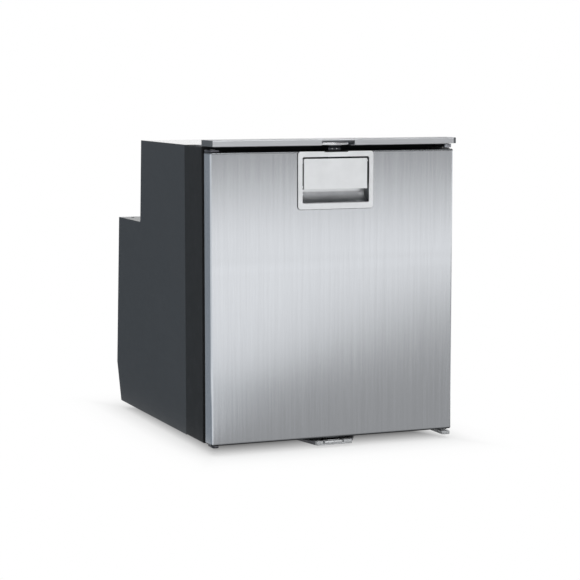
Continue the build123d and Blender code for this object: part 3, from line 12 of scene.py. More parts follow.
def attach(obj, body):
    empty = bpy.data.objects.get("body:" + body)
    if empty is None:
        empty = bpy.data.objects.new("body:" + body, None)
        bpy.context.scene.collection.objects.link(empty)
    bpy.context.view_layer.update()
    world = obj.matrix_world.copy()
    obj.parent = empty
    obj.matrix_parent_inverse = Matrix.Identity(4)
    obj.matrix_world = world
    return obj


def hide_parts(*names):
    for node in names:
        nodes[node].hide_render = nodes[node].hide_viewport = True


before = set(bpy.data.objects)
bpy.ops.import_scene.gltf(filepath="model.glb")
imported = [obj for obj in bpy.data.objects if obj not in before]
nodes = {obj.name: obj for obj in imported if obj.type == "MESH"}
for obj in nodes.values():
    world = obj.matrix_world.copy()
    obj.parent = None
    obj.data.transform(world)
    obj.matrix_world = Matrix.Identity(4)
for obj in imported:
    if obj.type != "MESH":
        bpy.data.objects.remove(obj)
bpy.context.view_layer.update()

SCREEN_WHITE = 255
UP, DOWN, BACK, FORWARD = (0, 0, 1), (0, 0, -1), (0, 1, 0), (0, -1, 0)

# How a pattern is multiplied along X, Y and Z: a small number draws it out.
EVENLY = (1, 1, 1)
UPRIGHT = (1, 1, 0.012)
SIDEWAYS = (0.012, 1, 1)
ROLLED = (1, 1, 0.08)
RIBBED = (1, 0.05, 1)
MOST_OF_A_NOISE = (0.3, 0.7)

# The sockets of a Mix node that mixes colours: its other sockets have the same names.
COLOUR_FACTOR, COLOUR_A, COLOUR_B, COLOUR_RESULT = 0, 6, 7, 2


def grey(level, warmth=0.0):
    """The colour that shows as that level of 255 on screen, turned to red, or below zero to blue."""
    def linear(value):
        """The sRGB curve, from screen to light."""
        value = max(0.0, value) / SCREEN_WHITE
        return value / 12.92 if value <= 0.04045 else ((value + 0.055) / 1.055) ** 2.4
    return (linear(level + warmth), linear(level), linear(level - warmth), 1.0)


def ranged(tree, value, old, new):
    """A value taken from its old range to a new one."""
    node = tree.nodes.new("ShaderNodeMapRange")
    for socket, number in zip(("From Min", "From Max", "To Min", "To Max"), (*old, *new)):
        node.inputs[socket].default_value = number
    tree.links.new(value, node.inputs["Value"])
    return node.outputs["Result"]


class Finish:
    """One finish: a material, its shader, and short ways to give it tint, gloss and relief."""

    def __init__(self, name, colour, roughness, metallic=0.0, **sockets):
        self.material = bpy.data.materials.new(name)
        self.material.use_nodes = True
        self.tree = self.material.node_tree
        self.shader = self.tree.nodes["Principled BSDF"]
        self.shader.inputs["Base Color"].default_value = colour
        self.shader.inputs["Roughness"].default_value = roughness
        self.shader.inputs["Metallic"].default_value = metallic
        for socket, value in sockets.items():
            self.shader.inputs[socket.replace("_", " ")].default_value = value
        self.position = self.add("ShaderNodeTexCoord").outputs["Object"]

    def add(self, kind, **settings):
        """A new node of that kind with its settings."""
        node = self.tree.nodes.new(kind)
        for setting, value in settings.items():
            setattr(node, setting, value)
        return node

    def link(self, output, socket):
        """Joins an output to a socket."""
        self.tree.links.new(output, socket)

    def where(self, stretch):
        """The position on the piece, with each axis multiplied by stretch."""
        mapping = self.add("ShaderNodeMapping")
        mapping.inputs["Scale"].default_value = stretch
        self.link(self.position, mapping.inputs["Vector"])
        return mapping.outputs["Vector"]

    def noise(self, size, stretch=EVENLY, detail=3.0, wobble=0.0):
        """Soft noise with features of about that size in metres."""
        noise = self.add("ShaderNodeTexNoise")
        noise.inputs["Scale"].default_value = 1 / size
        noise.inputs["Detail"].default_value = detail
        noise.inputs["Distortion"].default_value = wobble
        self.link(self.where(stretch), noise.inputs["Vector"])
        return noise.outputs["Fac"]

    def cells(self, size):
        """Cells of about that size in metres: the distance from their middles."""
        cells = self.add("ShaderNodeTexVoronoi")
        cells.inputs["Scale"].default_value = 1 / size
        self.link(self.where(EVENLY), cells.inputs["Vector"])
        return cells.outputs["Distance"]

    def blend(self, first, second, share):
        """Two patterns mixed, with that share of the second."""
        mix = self.add("ShaderNodeMix", data_type="FLOAT")
        mix.inputs["Factor"].default_value = share
        self.link(first, mix.inputs["A"])
        self.link(second, mix.inputs["B"])
        return mix.outputs["Result"]

    def tint(self, pattern, dark, light, between=MOST_OF_A_NOISE):
        """The colour runs from dark to light as the pattern runs between two values."""
        ramp = self.add("ShaderNodeValToRGB")
        for stop, position, colour in zip(ramp.color_ramp.elements, between, (dark, light)):
            stop.position = position
            stop.color = colour
        self.link(pattern, ramp.inputs["Fac"])
        self.link(ramp.outputs["Color"], self.shader.inputs["Base Color"])

    def painted_fold_shade(self, middle, fades, colour, share):
        """The tint turns to a dark colour, up to that share, far above and below the middle height: painted
        shade that stands in for dark reflections on the folds.
        """
        height = self.add("ShaderNodeSeparateXYZ")
        self.link(self.position, height.inputs["Vector"])
        away = self.add("ShaderNodeMath", operation="SUBTRACT")
        away.inputs[1].default_value = middle
        self.link(height.outputs["Z"], away.inputs[0])
        distance = self.add("ShaderNodeMath", operation="ABSOLUTE")
        self.link(away.outputs[0], distance.inputs[0])
        dulled = ranged(self.tree, distance.outputs[0], fades, (0, share))
        mix = self.add("ShaderNodeMix", data_type="RGBA")
        self.link(dulled, mix.inputs[COLOUR_FACTOR])
        base = self.shader.inputs["Base Color"]
        self.link(base.links[0].from_socket, mix.inputs[COLOUR_A])
        mix.inputs[COLOUR_B].default_value = colour
        self.link(mix.outputs[COLOUR_RESULT], base)

    def gloss(self, pattern, low, high):
        """The roughness runs from low to high with the pattern."""
        spread = ranged(self.tree, pattern, MOST_OF_A_NOISE, (low, high))
        self.link(spread, self.shader.inputs["Roughness"])

    def relief(self, pattern, depth, strength=1.0):
        """Relief of that depth in metres."""
        bump = self.add("ShaderNodeBump")
        bump.inputs["Distance"].default_value = depth
        bump.inputs["Strength"].default_value = strength
        self.link(pattern, bump.inputs["Height"])
        self.link(bump.outputs["Normal"], self.shader.inputs["Normal"])

    def grain_along(self, axis):
        """The brushed grain runs along that axis, so highlights are drawn out round it."""
        tangent = self.add("ShaderNodeTangent", direction_type="RADIAL", axis=axis)
        self.link(tangent.outputs["Tangent"], self.shader.inputs["Tangent"])


# The door skin's painted fold shade: the door's middle height, and how far from it the painted shade begins
# and is full.
DOOR_MIDDLE = 0.26125
FOLD_SHADE_FADES = (0.2402, 0.2426)
SILVER_TINGE = -2
PAINT_TINGE = -4


def brushed_steel():
    """The door skin: stainless sheet, brushed upright, with painted shade on the folds at its top and foot.
    """
    finish = Finish("brushed_steel", (0.64, 0.665, 0.70, 1), 0.23, metallic=1.0, Anisotropic=0.9)
    fine = finish.noise(0.0006, UPRIGHT, detail=4)
    broad = finish.noise(0.0028, UPRIGHT, detail=3)
    streaks = finish.blend(fine, broad, share=0.55)
    finish.tint(streaks, (0.738, 0.76, 0.795, 1), (0.795, 0.819, 0.855, 1), between=(0.38, 0.62))
    # Painted shade: the folds at the top and foot turn dark grey in place of their reflections.
    finish.painted_fold_shade(DOOR_MIDDLE, FOLD_SHADE_FADES, (0.12, 0.124, 0.132, 1), share=0.95)
    finish.gloss(streaks, 0.215, 0.245)
    finish.relief(fine, depth=0.00002, strength=0.3)
    finish.grain_along("Z")
    return finish.material


def brushed_aluminium():
    """The top rail: anodised profile, brushed along its length."""
    finish = Finish("brushed_aluminium", (0.66, 0.67, 0.70, 1), 0.32, metallic=1.0, Anisotropic=0.5)
    fine = finish.noise(0.0005, SIDEWAYS, detail=4)
    broad = finish.noise(0.004, SIDEWAYS, detail=2)
    streaks = finish.blend(fine, broad, share=0.4)
    finish.tint(streaks, (0.70, 0.715, 0.745, 1), (0.82, 0.835, 0.86, 1))
    finish.gloss(streaks, 0.28, 0.4)
    finish.relief(fine, depth=0.00002, strength=0.35)
    return finish.material


def silver_coat(name, level, roughness):
    """A moulded or cast piece coated in pale silver."""
    finish = Finish(name, grey(level, SILVER_TINGE), roughness, metallic=0.5)
    mottle = finish.noise(0.02, detail=4)
    finish.tint(mottle, grey(level - 2, SILVER_TINGE), grey(level + 3, SILVER_TINGE))
    finish.gloss(mottle, roughness, roughness + 0.07)
    finish.relief(finish.noise(0.0004), depth=0.00001, strength=0.5)
    return finish.material


def sheet_paint():
    """The cabinet's sides: dark grey paint with a fine orange peel."""
    finish = Finish("sheet_paint", grey(56, PAINT_TINGE), 0.5, Specular_IOR_Level=0.4)
    mottle = finish.blend(finish.noise(0.05, detail=5), finish.noise(0.0009, detail=2), share=0.4)
    finish.tint(mottle, grey(53, PAINT_TINGE), grey(60, PAINT_TINGE))
    finish.gloss(mottle, 0.46, 0.56)
    finish.relief(finish.noise(0.0012, detail=2), depth=0.00005, strength=0.6)
    return finish.material


def baked_paint(name, gloss, haze):
    """The cabinet's top and rear: the same paint, baked glossy, which turns pale at a low angle."""
    finish = Finish(name, grey(54, PAINT_TINGE), 0.36, Coat_Weight=gloss, Coat_Roughness=haze, Coat_IOR=1.6)
    mottle = finish.blend(finish.noise(0.06, detail=5), finish.noise(0.001, detail=2), share=0.3)
    finish.tint(mottle, grey(51, PAINT_TINGE), grey(58, PAINT_TINGE))
    finish.gloss(mottle, 0.33, 0.43)
    finish.relief(finish.noise(0.0014, detail=2), depth=0.00003, strength=0.3)
    return finish.material


def moulded(name, level, warmth=0, roughness=0.5, size=0.0005, depth=0.00004, spread=0.025, **sockets):
    """A moulded plastic with a fine spark-eroded grain."""
    finish = Finish(name, grey(level, warmth), roughness, **sockets)
    grain = finish.cells(size)
    mottle = finish.blend(finish.noise(0.03, detail=4), grain, share=0.3)
    finish.tint(mottle, grey(level * (1 - spread), warmth), grey(level * (1 + spread), warmth))
    finish.gloss(mottle, roughness * 0.9, roughness * 1.1)
    finish.relief(grain, depth, strength=0.5)
    return finish.material


def plain_metal(name, dark, light, roughness, size=0.012, depth=0.00003):
    """Bare or plated metal with cloudy patches of that size and rolling marks of that depth."""
    finish = Finish(name, light, sum(roughness) / 2, metallic=1.0)
    patches = finish.noise(size, detail=5, wobble=0.6)
    marks = finish.noise(0.0005, ROLLED)
    finish.tint(patches, dark, light)
    finish.gloss(finish.blend(patches, marks, share=0.4), *roughness)
    finish.relief(marks, depth, strength=0.3)
    return finish.material


def rigid_foam():
    """Blown insulation with small open cells."""
    finish = Finish("rigid_foam", (0.82, 0.74, 0.5, 1), 0.9)
    cells = finish.cells(0.0012)
    finish.tint(cells, (0.72, 0.62, 0.38, 1), (0.87, 0.8, 0.56, 1), between=(0.1, 0.6))
    finish.relief(cells, depth=0.0003)
    return finish.material


def soft_rubber():
    """Black rubber, dull and faintly dusty."""
    finish = Finish("soft_rubber", grey(16), 0.8, Specular_IOR_Level=0.2)
    dust = finish.noise(0.006, detail=6)
    finish.tint(dust, grey(12), grey(22))
    finish.gloss(dust, 0.72, 0.88)
    finish.relief(finish.noise(0.0005), depth=0.00005, strength=0.6)
    return finish.material


def clear_drawer():
    """The vegetable drawer's frosted clear plastic."""
    finish = Finish("clear_drawer", (0.86, 0.92, 0.94, 1), 0.16, Transmission_Weight=0.8, IOR=1.49)
    flow = finish.noise(0.03)
    finish.tint(flow, (0.82, 0.9, 0.93, 1), (0.9, 0.95, 0.96, 1))
    finish.gloss(flow, 0.12, 0.2)
    finish.relief(flow, depth=0.0002, strength=0.3)
    return finish.material


def opal_lens():
    """The interior lamp's opal lens."""
    finish = Finish("opal_lens", (0.86, 0.86, 0.82, 1), 0.35, Transmission_Weight=0.35, IOR=1.5)
    ribs = finish.noise(0.0015, RIBBED, detail=1)
    finish.tint(ribs, (0.8, 0.8, 0.77, 1), (0.9, 0.9, 0.87, 1))
    finish.relief(ribs, depth=0.0002, strength=0.6)
    return finish.material


BAKED_PAINTS = {
    "top_paint": dict(gloss=1.0, haze=0.06),
    "cover_paint": dict(gloss=0.6, haze=0.3),
}
SILVER_COATS = {
    "die_cast": dict(level=208, roughness=0.3),
    "hinge_silver": dict(level=200, roughness=0.2),
    "bar_silver": dict(level=228, roughness=0.22),
    "satin_silver": dict(level=233, roughness=0.3),
}
PLASTICS = {
    "collar_plastic": dict(level=34, warmth=-2, roughness=0.6, Specular_IOR_Level=0.3),
    # The handle cup: dark grey plastic, made darker still as painted shade for the deep recess behind the
    # flap.
    "cup_black": dict(level=60, warmth=-3, roughness=0.42, size=0.0004, depth=0.00002),
    "white_liner": dict(level=230, warmth=1, roughness=0.34, size=0.0008, depth=0.00003, spread=0.005),
    "cap_grey": dict(level=82, warmth=-4, roughness=0.45),
    "coated_wire": dict(level=232, roughness=0.3, size=0.0006, depth=0.00002),
    "button_grey": dict(level=185, roughness=0.4, size=0.0004, depth=0.00002),
    "bush_grey": dict(level=170, roughness=0.4, size=0.0004, depth=0.00002),
    "black_enamel": dict(level=24, roughness=0.28, size=0.003, depth=0.00005),
    "module_black": dict(level=38),
}
METALS = {
    "scoop_silver": dict(dark=(0.72, 0.73, 0.75, 1), light=(0.80, 0.81, 0.83, 1), roughness=(0.34, 0.4),
                         size=0.03, depth=0.000005),
    "zinc_steel": dict(dark=(0.32, 0.33, 0.36, 1), light=(0.46, 0.47, 0.50, 1), roughness=(0.26, 0.4)),
    # Painted shade: zinc darkened for the spare hinge places, which sit in shaded gaps.
    "black_zinc": dict(dark=(0.1, 0.1, 0.115, 1), light=(0.17, 0.17, 0.19, 1), roughness=(0.3, 0.42)),
    # Painted shade: the lower catch base's sides and top, darker than its front.
    "slate_metal": dict(dark=(0.36, 0.37, 0.4, 1), light=(0.46, 0.465, 0.5, 1), roughness=(0.34, 0.46)),
    "bright_chrome": dict(dark=(0.68, 0.69, 0.71, 1), light=(0.76, 0.77, 0.78, 1), roughness=(0.14, 0.22),
                          size=0.01, depth=0.000004),
    "rolled_aluminium": dict(dark=(0.66, 0.67, 0.68, 1), light=(0.78, 0.78, 0.78, 1), roughness=(0.34, 0.5)),
    "copper_tube": dict(dark=(0.42, 0.17, 0.09, 1), light=(0.78, 0.38, 0.24, 1), roughness=(0.2, 0.4),
                        size=0.008),
    "latch_grey": dict(dark=(0.05, 0.052, 0.06, 1), light=(0.09, 0.093, 0.1, 1), roughness=(0.26, 0.38)),
    "spring_steel": dict(dark=(0.4, 0.4, 0.41, 1), light=(0.6, 0.6, 0.6, 1), roughness=(0.2, 0.34)),
}


def all_finishes():
    """Every finish by its name."""
    finishes = {"brushed_steel": brushed_steel(), "brushed_aluminium": brushed_aluminium(),
                "sheet_paint": sheet_paint(), "rigid_foam": rigid_foam(), "soft_rubber": soft_rubber(),
                "clear_drawer": clear_drawer(), "opal_lens": opal_lens()}
    families = [(baked_paint, BAKED_PAINTS), (silver_coat, SILVER_COATS), (moulded, PLASTICS),
                (plain_metal, METALS)]
    for make, looks in families:
        for name, look in looks.items():
            finishes[name] = make(name, **look)
    return finishes


FINISHES = all_finishes()

WEARS = {
    "sheet_paint": ["side_panel_left", "side_panel_right", "back_panel", "bottom_panel"],
    "top_paint": ["top_panel"],
    "cover_paint": ["rear_cover"],
    "collar_plastic": ["front_collar", "rear_spacers", "cable_gland"],
    "cap_grey": ["rail_end_caps"],
    "rigid_foam": ["foam_insulation", "door_foam"],
    "white_liner": ["inner_liner", "door_liner", "freezer_shell", "freezer_flap",
                    "control_housing", "small_bin", "bottle_bin", "drip_tray"],
    "clear_drawer": ["crisper_drawer"],
    "soft_rubber": ["rubber_feet", "compressor_mounts", "door_gasket"],
    "zinc_steel": ["rail_plate", "hinge_bracket_lower", "hinge_bracket_upper",
                   "cabinet_screws", "rail_screws"],
    "black_zinc": ["spare_hinge_plates"],
    "brushed_aluminium": ["top_rail"],
    "die_cast": ["catch_base_lower"],
    "bright_chrome": ["catch_slide_lower", "catch_slide_upper"],
    "rolled_aluminium": ["evaporator", "condenser_fins"],
    "coated_wire": ["lower_shelf", "upper_shelf"],
    "opal_lens": ["lamp_lens"],
    "button_grey": ["power_button", "temperature_button", "temperature_sensor"],
    "black_enamel": ["compressor", "condenser_tube"],
    "module_black": ["electronics_module", "fan_frame", "fan_rotor"],
    "copper_tube": ["discharge_pipe", "filter_drier", "capillary_tube", "suction_pipe"],
    "brushed_steel": ["door_skin"],
    "satin_silver": ["handle_frame", "handle_flap"],
    "scoop_silver": ["handle_scoop"],
    "cup_black": ["handle_cup"],
    "latch_grey": ["upper_latch", "lower_latch"],
    "bush_grey": ["door_bushes"],
    "spring_steel": ["flap_spring"],
}


def wear(piece, finish):
    """The piece takes that finish in every slot."""
    if not piece.material_slots:
        piece.data.materials.append(FINISHES[finish])
    for slot in piece.material_slots:
        slot.material = FINISHES[finish]


for finish_name, wearers in WEARS.items():
    for wearer in wearers:
        wear(nodes[wearer], finish_name)


SMOOTH_ANGLE, SHARP_ANGLE, FLAT_ANGLE = math.radians(35), math.radians(32), math.radians(1)
MERGE_DISTANCE, RING_MERGE_DISTANCE = 0.000002, 0.00001
STRAIGHT = 0.9


def only(piece):
    """That piece alone is selected and active."""
    bpy.ops.object.select_all(action="DESELECT")
    piece.select_set(True)
    bpy.context.view_layer.objects.active = piece


def settled(name):
    """The new primitive gets its name, and its place goes into its mesh."""
    piece = bpy.context.object
    piece.name = name
    piece.data.name = name
    only(piece)
    bpy.ops.object.transform_apply(location=True, rotation=True, scale=True)
    return piece


def new_block(name, low, high):
    """A block between two corners."""
    bpy.ops.object.select_all(action="DESELECT")
    middle = [(a + b) / 2 for a, b in zip(low, high)]
    bpy.ops.mesh.primitive_cube_add(size=1, location=middle, scale=[b - a for a, b in zip(low, high)])
    return settled(name)


def new_rod(name, middle, radius, length, corners=32):
    """An upright rod round its middle."""
    bpy.ops.object.select_all(action="DESELECT")
    bpy.ops.mesh.primitive_cylinder_add(vertices=corners, radius=radius, depth=length, location=middle)
    return settled(name)


def edit(piece, kind, chosen):
    """Edit mode on the piece, with only those faces or edges selected that chosen(middle, part) takes."""
    only(piece)
    bpy.ops.object.mode_set(mode="EDIT")
    bpy.ops.mesh.select_mode(type=kind)
    bpy.ops.mesh.select_all(action="DESELECT")
    bpy.ops.object.mode_set(mode="OBJECT")
    corners = piece.data.vertices
    for part in piece.data.polygons if kind == "FACE" else piece.data.edges:
        places = [corners[i].co for i in part.vertices]
        part.select = bool(chosen(sum(places, Vector()) / len(places), part))
    bpy.ops.object.mode_set(mode="EDIT")


def leave_edit():
    """Back to object mode."""
    bpy.ops.object.mode_set(mode="OBJECT")


def anything(middle, part):
    """Every face or edge is chosen."""
    return True


def looks_up(middle, face):
    """The faces that look up are chosen."""
    return face.normal.z > STRAIGHT


def looks_down(middle, face):
    """The faces that look down are chosen."""
    return face.normal.z < -STRAIGHT


def bevel_chosen(piece, kind, chosen, width, steps=3):
    """The chosen edges, or the edges of the chosen faces, are rounded."""
    edit(piece, kind, chosen)
    bpy.ops.mesh.bevel(offset=width, segments=steps, affect="EDGES")
    leave_edit()


def push_out(step):
    """The selected faces or edges are extruded by that step."""
    bpy.ops.mesh.extrude_region_move(TRANSFORM_OT_translate={"value": step})


def apply(piece, kind, **settings):
    """A modifier with its settings, applied at once."""
    only(piece)
    tool = piece.modifiers.new(kind.lower(), kind)
    for setting, value in settings.items():
        setattr(tool, setting, value)
    bpy.ops.object.modifier_apply(modifier=tool.name)


def soften(piece, width, steps=2):
    """Every sharp edge is rounded."""
    apply(piece, "BEVEL", width=width, segments=steps, limit_method="ANGLE", angle_limit=SHARP_ANGLE,
          miter_outer="MITER_ARC", use_clamp_overlap=True)


def cut(piece, tool):
    """The tool's shape is taken out of the piece, and the tool goes."""
    apply(piece, "BOOLEAN", object=tool, operation="DIFFERENCE", solver="EXACT")
    bpy.data.objects.remove(tool)


def joined(name, pieces):
    """Several pieces made one."""
    only(pieces[0])
    for piece in pieces[1:]:
        piece.select_set(True)
    bpy.ops.object.join()
    pieces[0].name = name
    pieces[0].data.name = name
    return pieces[0]


def moved_copy(piece, move):
    """A copy with its own mesh, moved or turned."""
    mesh = piece.data.copy()
    mesh.transform(move)
    copy = bpy.data.objects.new(piece.name, mesh)
    bpy.context.scene.collection.objects.link(copy)
    return copy


def copies(name, pattern, moves):
    """One piece of a pattern's copies; the pattern itself goes."""
    piece = joined(name, [moved_copy(pattern, move) for move in moves])
    bpy.data.objects.remove(pattern)
    return piece


def facing(direction, spots):
    """The moves that take a pattern's top along that direction, one to each spot."""
    turn = Vector(UP).rotation_difference(Vector(direction)).to_matrix().to_4x4()
    return [Matrix.Translation(spot) @ turn for spot in spots]


def place(piece, body, slot, finish, *stands_for):
    """The piece gets its shading, finish and body, and stands for those nodes; the slot argument is not
    used.
    """
    only(piece)
    bpy.ops.object.shade_smooth_by_angle(angle=SMOOTH_ANGLE)
    wear(piece, finish)
    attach(piece, body)
    if stands_for:
        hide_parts(*stands_for)
    return piece


def softened(node, name, width, body, slot, finish, steps=2):
    """A CAD node's shape with rounded edges."""
    piece = bpy.data.objects.new(name, nodes[node].data.copy())
    bpy.context.scene.collection.objects.link(piece)
    edit(piece, "FACE", anything)
    bpy.ops.mesh.remove_doubles(threshold=MERGE_DISTANCE)
    bpy.ops.mesh.dissolve_limited(angle_limit=FLAT_ANGLE)
    leave_edit()
    soften(piece, width, steps)
    return place(piece, body, slot, finish, node)


def second_finish(piece, finish, chosen):
    """The chosen faces get a finish of their own."""
    piece.data.materials.append(FINISHES[finish])
    edit(piece, "FACE", chosen)
    piece.active_material_index = len(piece.data.materials) - 1
    bpy.ops.object.material_slot_assign()
    leave_edit()


# A screw head's measures as shares of its height, but the recess's reach and width as shares of its radius,
# and the taper as the share of the recess's width that is left at its foot.
HEAD_ROUNDING = 0.55
RECESS_REACH, RECESS_WIDTH = 0.58, 0.14
RECESS_FOOT, RECESS_ABOVE = 0.35, 1.5
RECESS_TAPER = 0.7


def screw_pattern(radius, height):
    """A pan head with a cross recess, its seat at the origin and its top along Z."""
    head = new_rod("screw_head", (0, 0, height / 2), radius, height)
    bevel_chosen(head, "FACE", looks_up, height * HEAD_ROUNDING, steps=4)
    for across, along in ((RECESS_REACH, RECESS_WIDTH), (RECESS_WIDTH, RECESS_REACH)):
        low = (-across * radius, -along * radius, height * RECESS_FOOT)
        high = (across * radius, along * radius, height * RECESS_ABOVE)
        arm = new_block("recess_arm", low, high)
        edit(arm, "FACE", looks_down)
        bpy.ops.transform.resize(value=(RECESS_TAPER, RECESS_TAPER, 1))
        leave_edit()
        cut(head, arm)
    return head


RAIL_HEAD_RADIUS, CABINET_HEAD_RADIUS = 0.0038, 0.0034
HEAD_HEIGHT, LOW_HEAD_HEIGHT = 0.0018, 0.0007
RAIL_SCREWS = [(x, -0.185, 0.515) for x in (-0.19, -0.12, -0.05, 0.05, 0.12, 0.19)]
COVER_BACK_SCREWS = [(x, 0.26386, 0.118) for x in (-0.205, 0.205)]
COVER_TOP_SCREWS = [(x, 0.23, 0.365) for x in (-0.2, 0.0, 0.2)]
CATCH_SCREWS = [(x, -0.196, 0.012) for x in (-0.045, 0.045)]
HINGE_SCREWS = [(0.213, -0.195, 0.009)]


def make_screws():
    """Screws of the rail plate, the rear cover, the lower catch and the lower hinge bracket."""
    rail = copies("rail_screw_heads", screw_pattern(RAIL_HEAD_RADIUS, HEAD_HEIGHT), facing(UP, RAIL_SCREWS))
    place(rail, "cabinet", "zinc_steel", "zinc_steel", "rail_screws")
    moves = facing(BACK, COVER_BACK_SCREWS) + facing(DOWN, CATCH_SCREWS + HINGE_SCREWS)
    low = copies("cabinet_screw_heads", screw_pattern(CABINET_HEAD_RADIUS, HEAD_HEIGHT), moves)
    place(low, "cabinet", "zinc_steel", "zinc_steel", "cabinet_screws")
    top = copies("cover_screw_heads", screw_pattern(CABINET_HEAD_RADIUS, LOW_HEAD_HEIGHT),
                 facing(UP, COVER_TOP_SCREWS))
    place(top, "cabinet", "zinc_steel", "cover_paint", "cabinet_screws")


STUD_RADIUS, STUD_LENGTH, STUD_ROUNDING = 0.0011, 0.0008, 0.0004
NOSE_STUDS = [(x, -0.2622, 0.5088) for x in (-0.0032, 0.0052)]


def make_nose_studs():
    """Two bright studs on the front of the upper latch's nose."""
    stud = new_rod("stud", (0, 0, 0), STUD_RADIUS, STUD_LENGTH, corners=20)
    bevel_chosen(stud, "FACE", looks_up, STUD_ROUNDING)
    place(copies("nose_studs", stud, facing(FORWARD, NOSE_STUDS)), "upper_latch", "latch_plastic",
          "bright_chrome")


# The scoop's section as depths and heights, from under the flap downwards.
SCOOP_LINE = [(-0.2495, 0.446), (-0.2478, 0.438), (-0.2476, 0.4335), (-0.2502, 0.4275),
              (-0.2545, 0.4222), (-0.2598, 0.419), (-0.2632, 0.4183), (-0.2663, 0.4183)]
SCOOP_LEFT, SCOOP_RIGHT = -0.0597, 0.0623
SCOOP_START, SCOOP_SHEET = 0.001, 0.0006


def make_finger_scoop():
    """Satin lining below the flap, hollowed for the fingertips."""
    bpy.ops.object.select_all(action="DESELECT")
    start, second = SCOOP_LINE[:2]
    bpy.ops.mesh.primitive_plane_add(
        size=1, location=((SCOOP_LEFT + SCOOP_RIGHT) / 2, start[0] + SCOOP_START / 2, start[1]))
    bpy.context.object.scale = (SCOOP_RIGHT - SCOOP_LEFT, SCOOP_START, 1)
    scoop = settled("finger_scoop")
    edit(scoop, "EDGE", lambda middle, edge: middle.y > start[0] + SCOOP_START * 3 / 4)
    bpy.ops.transform.translate(value=(0, second[0] - start[0] - SCOOP_START, second[1] - start[1]))
    for last, point in zip(SCOOP_LINE[1:], SCOOP_LINE[2:]):
        push_out((0, point[0] - last[0], point[1] - last[1]))
    leave_edit()
    apply(scoop, "SUBSURF", levels=3, render_levels=3, boundary_smooth="PRESERVE_CORNERS")
    edit(scoop, "FACE", anything)
    bpy.ops.mesh.normals_make_consistent(inside=False)
    leave_edit()
    if scoop.data.polygons[0].normal.y > 0:
        edit(scoop, "FACE", anything)
        bpy.ops.mesh.flip_normals()
        leave_edit()
    apply(scoop, "SOLIDIFY", thickness=SCOOP_SHEET, offset=-1)
    place(scoop, "door", "handle_satin", "scoop_silver", "handle_scoop")


def ring(name, middle, steps):
    """A closed frame in the door's plane: its section is walked through widths, heights and depths."""
    bpy.ops.object.select_all(action="DESELECT")
    width, height, depth = steps[0]
    bpy.ops.mesh.primitive_plane_add(size=1, location=(middle[0], depth, middle[1]),
                                     rotation=(math.pi / 2, 0, 0))
    bpy.context.object.scale = (width, height, 1)
    band = settled(name)
    edit(band, "FACE", anything)
    bpy.ops.mesh.delete(type="ONLY_FACE")
    bpy.ops.mesh.select_mode(type="EDGE")
    bpy.ops.mesh.select_all(action="SELECT")
    for last, step in zip(steps, steps[1:] + steps[:1]):
        bpy.ops.mesh.extrude_edges_move(TRANSFORM_OT_translate={"value": (0, step[2] - last[2], 0)})
        bpy.ops.transform.resize(value=(step[0] / last[0], 1, step[1] / last[1]))
    bpy.ops.mesh.select_all(action="SELECT")
    bpy.ops.mesh.remove_doubles(threshold=RING_MERGE_DISTANCE)
    bpy.ops.mesh.normals_make_consistent(inside=False)
    leave_edit()
    return band


def round_corners(piece, middle, beyond, radius):
    """A ring's corners are rounded: the edges further than that from its middle, both across and up."""
    def at_corner(spot, edge):
        """An edge that crosses the section at a corner."""
        return abs(spot.x - middle[0]) > beyond[0] and abs(spot.z - middle[1]) > beyond[1]
    bevel_chosen(piece, "EDGE", at_corner, radius, steps=4)


# The gasket's section as widths and depths; each loop of it is higher than wide by the same length.
GASKET_OUTER = [(0.416, -0.2355), (0.416, -0.2325), (0.4135, -0.2315), (0.405, -0.2312), (0.4065, -0.2295),
                (0.402, -0.2282), (0.41, -0.2274), (0.41, -0.2252), (0.409, -0.2248)]
GASKET_INNER = [(0.389, -0.2248), (0.388, -0.2252), (0.388, -0.2274), (0.396, -0.2282), (0.3915, -0.2295),
                (0.393, -0.2312), (0.3805, -0.2315), (0.378, -0.2325), (0.378, -0.2355)]
GASKET_EXTRA_HEIGHT = 0.054
GASKET_MIDDLE, GASKET_BEYOND, GASKET_RADIUS = (0, 0.267), (0.185, 0.21), 0.008


def make_gasket():
    """The door's magnetic gasket: its foot, a soft bellows and the band that meets the cabinet."""
    steps = [(width, width + GASKET_EXTRA_HEIGHT, depth) for width, depth in GASKET_OUTER + GASKET_INNER]
    gasket = ring("gasket_bellows", GASKET_MIDDLE, steps)
    round_corners(gasket, GASKET_MIDDLE, GASKET_BEYOND, GASKET_RADIUS)
    place(gasket, "door", "rubber", "soft_rubber", "door_gasket")


# Painted shade: a thin dark ring that stands for the shadow round the handle's frame.
SHADE_RING_OUTER, SHADE_RING_INNER = (0.1389, 0.098), (0.13, 0.09)
SHADE_RING_BACK, SHADE_RING_FRONT = -0.26752, -0.2684
SHADE_RING_MIDDLE, SHADE_RING_BEYOND, SHADE_RING_RADIUS = (0.00105, 0.45605), (0.05, 0.035), 0.005


def make_handle_shade_ring():
    """A thin dark ring round the handle's frame: painted shade for the shadow gap at the frame's edge."""
    steps = [(*SHADE_RING_OUTER, SHADE_RING_BACK), (*SHADE_RING_OUTER, SHADE_RING_FRONT),
             (*SHADE_RING_INNER, SHADE_RING_FRONT), (*SHADE_RING_INNER, SHADE_RING_BACK)]
    shade_ring = ring("handle_shade_ring", SHADE_RING_MIDDLE, steps)
    round_corners(shade_ring, SHADE_RING_MIDDLE, SHADE_RING_BEYOND, SHADE_RING_RADIUS)
    place(shade_ring, "door", "rubber", "soft_rubber")


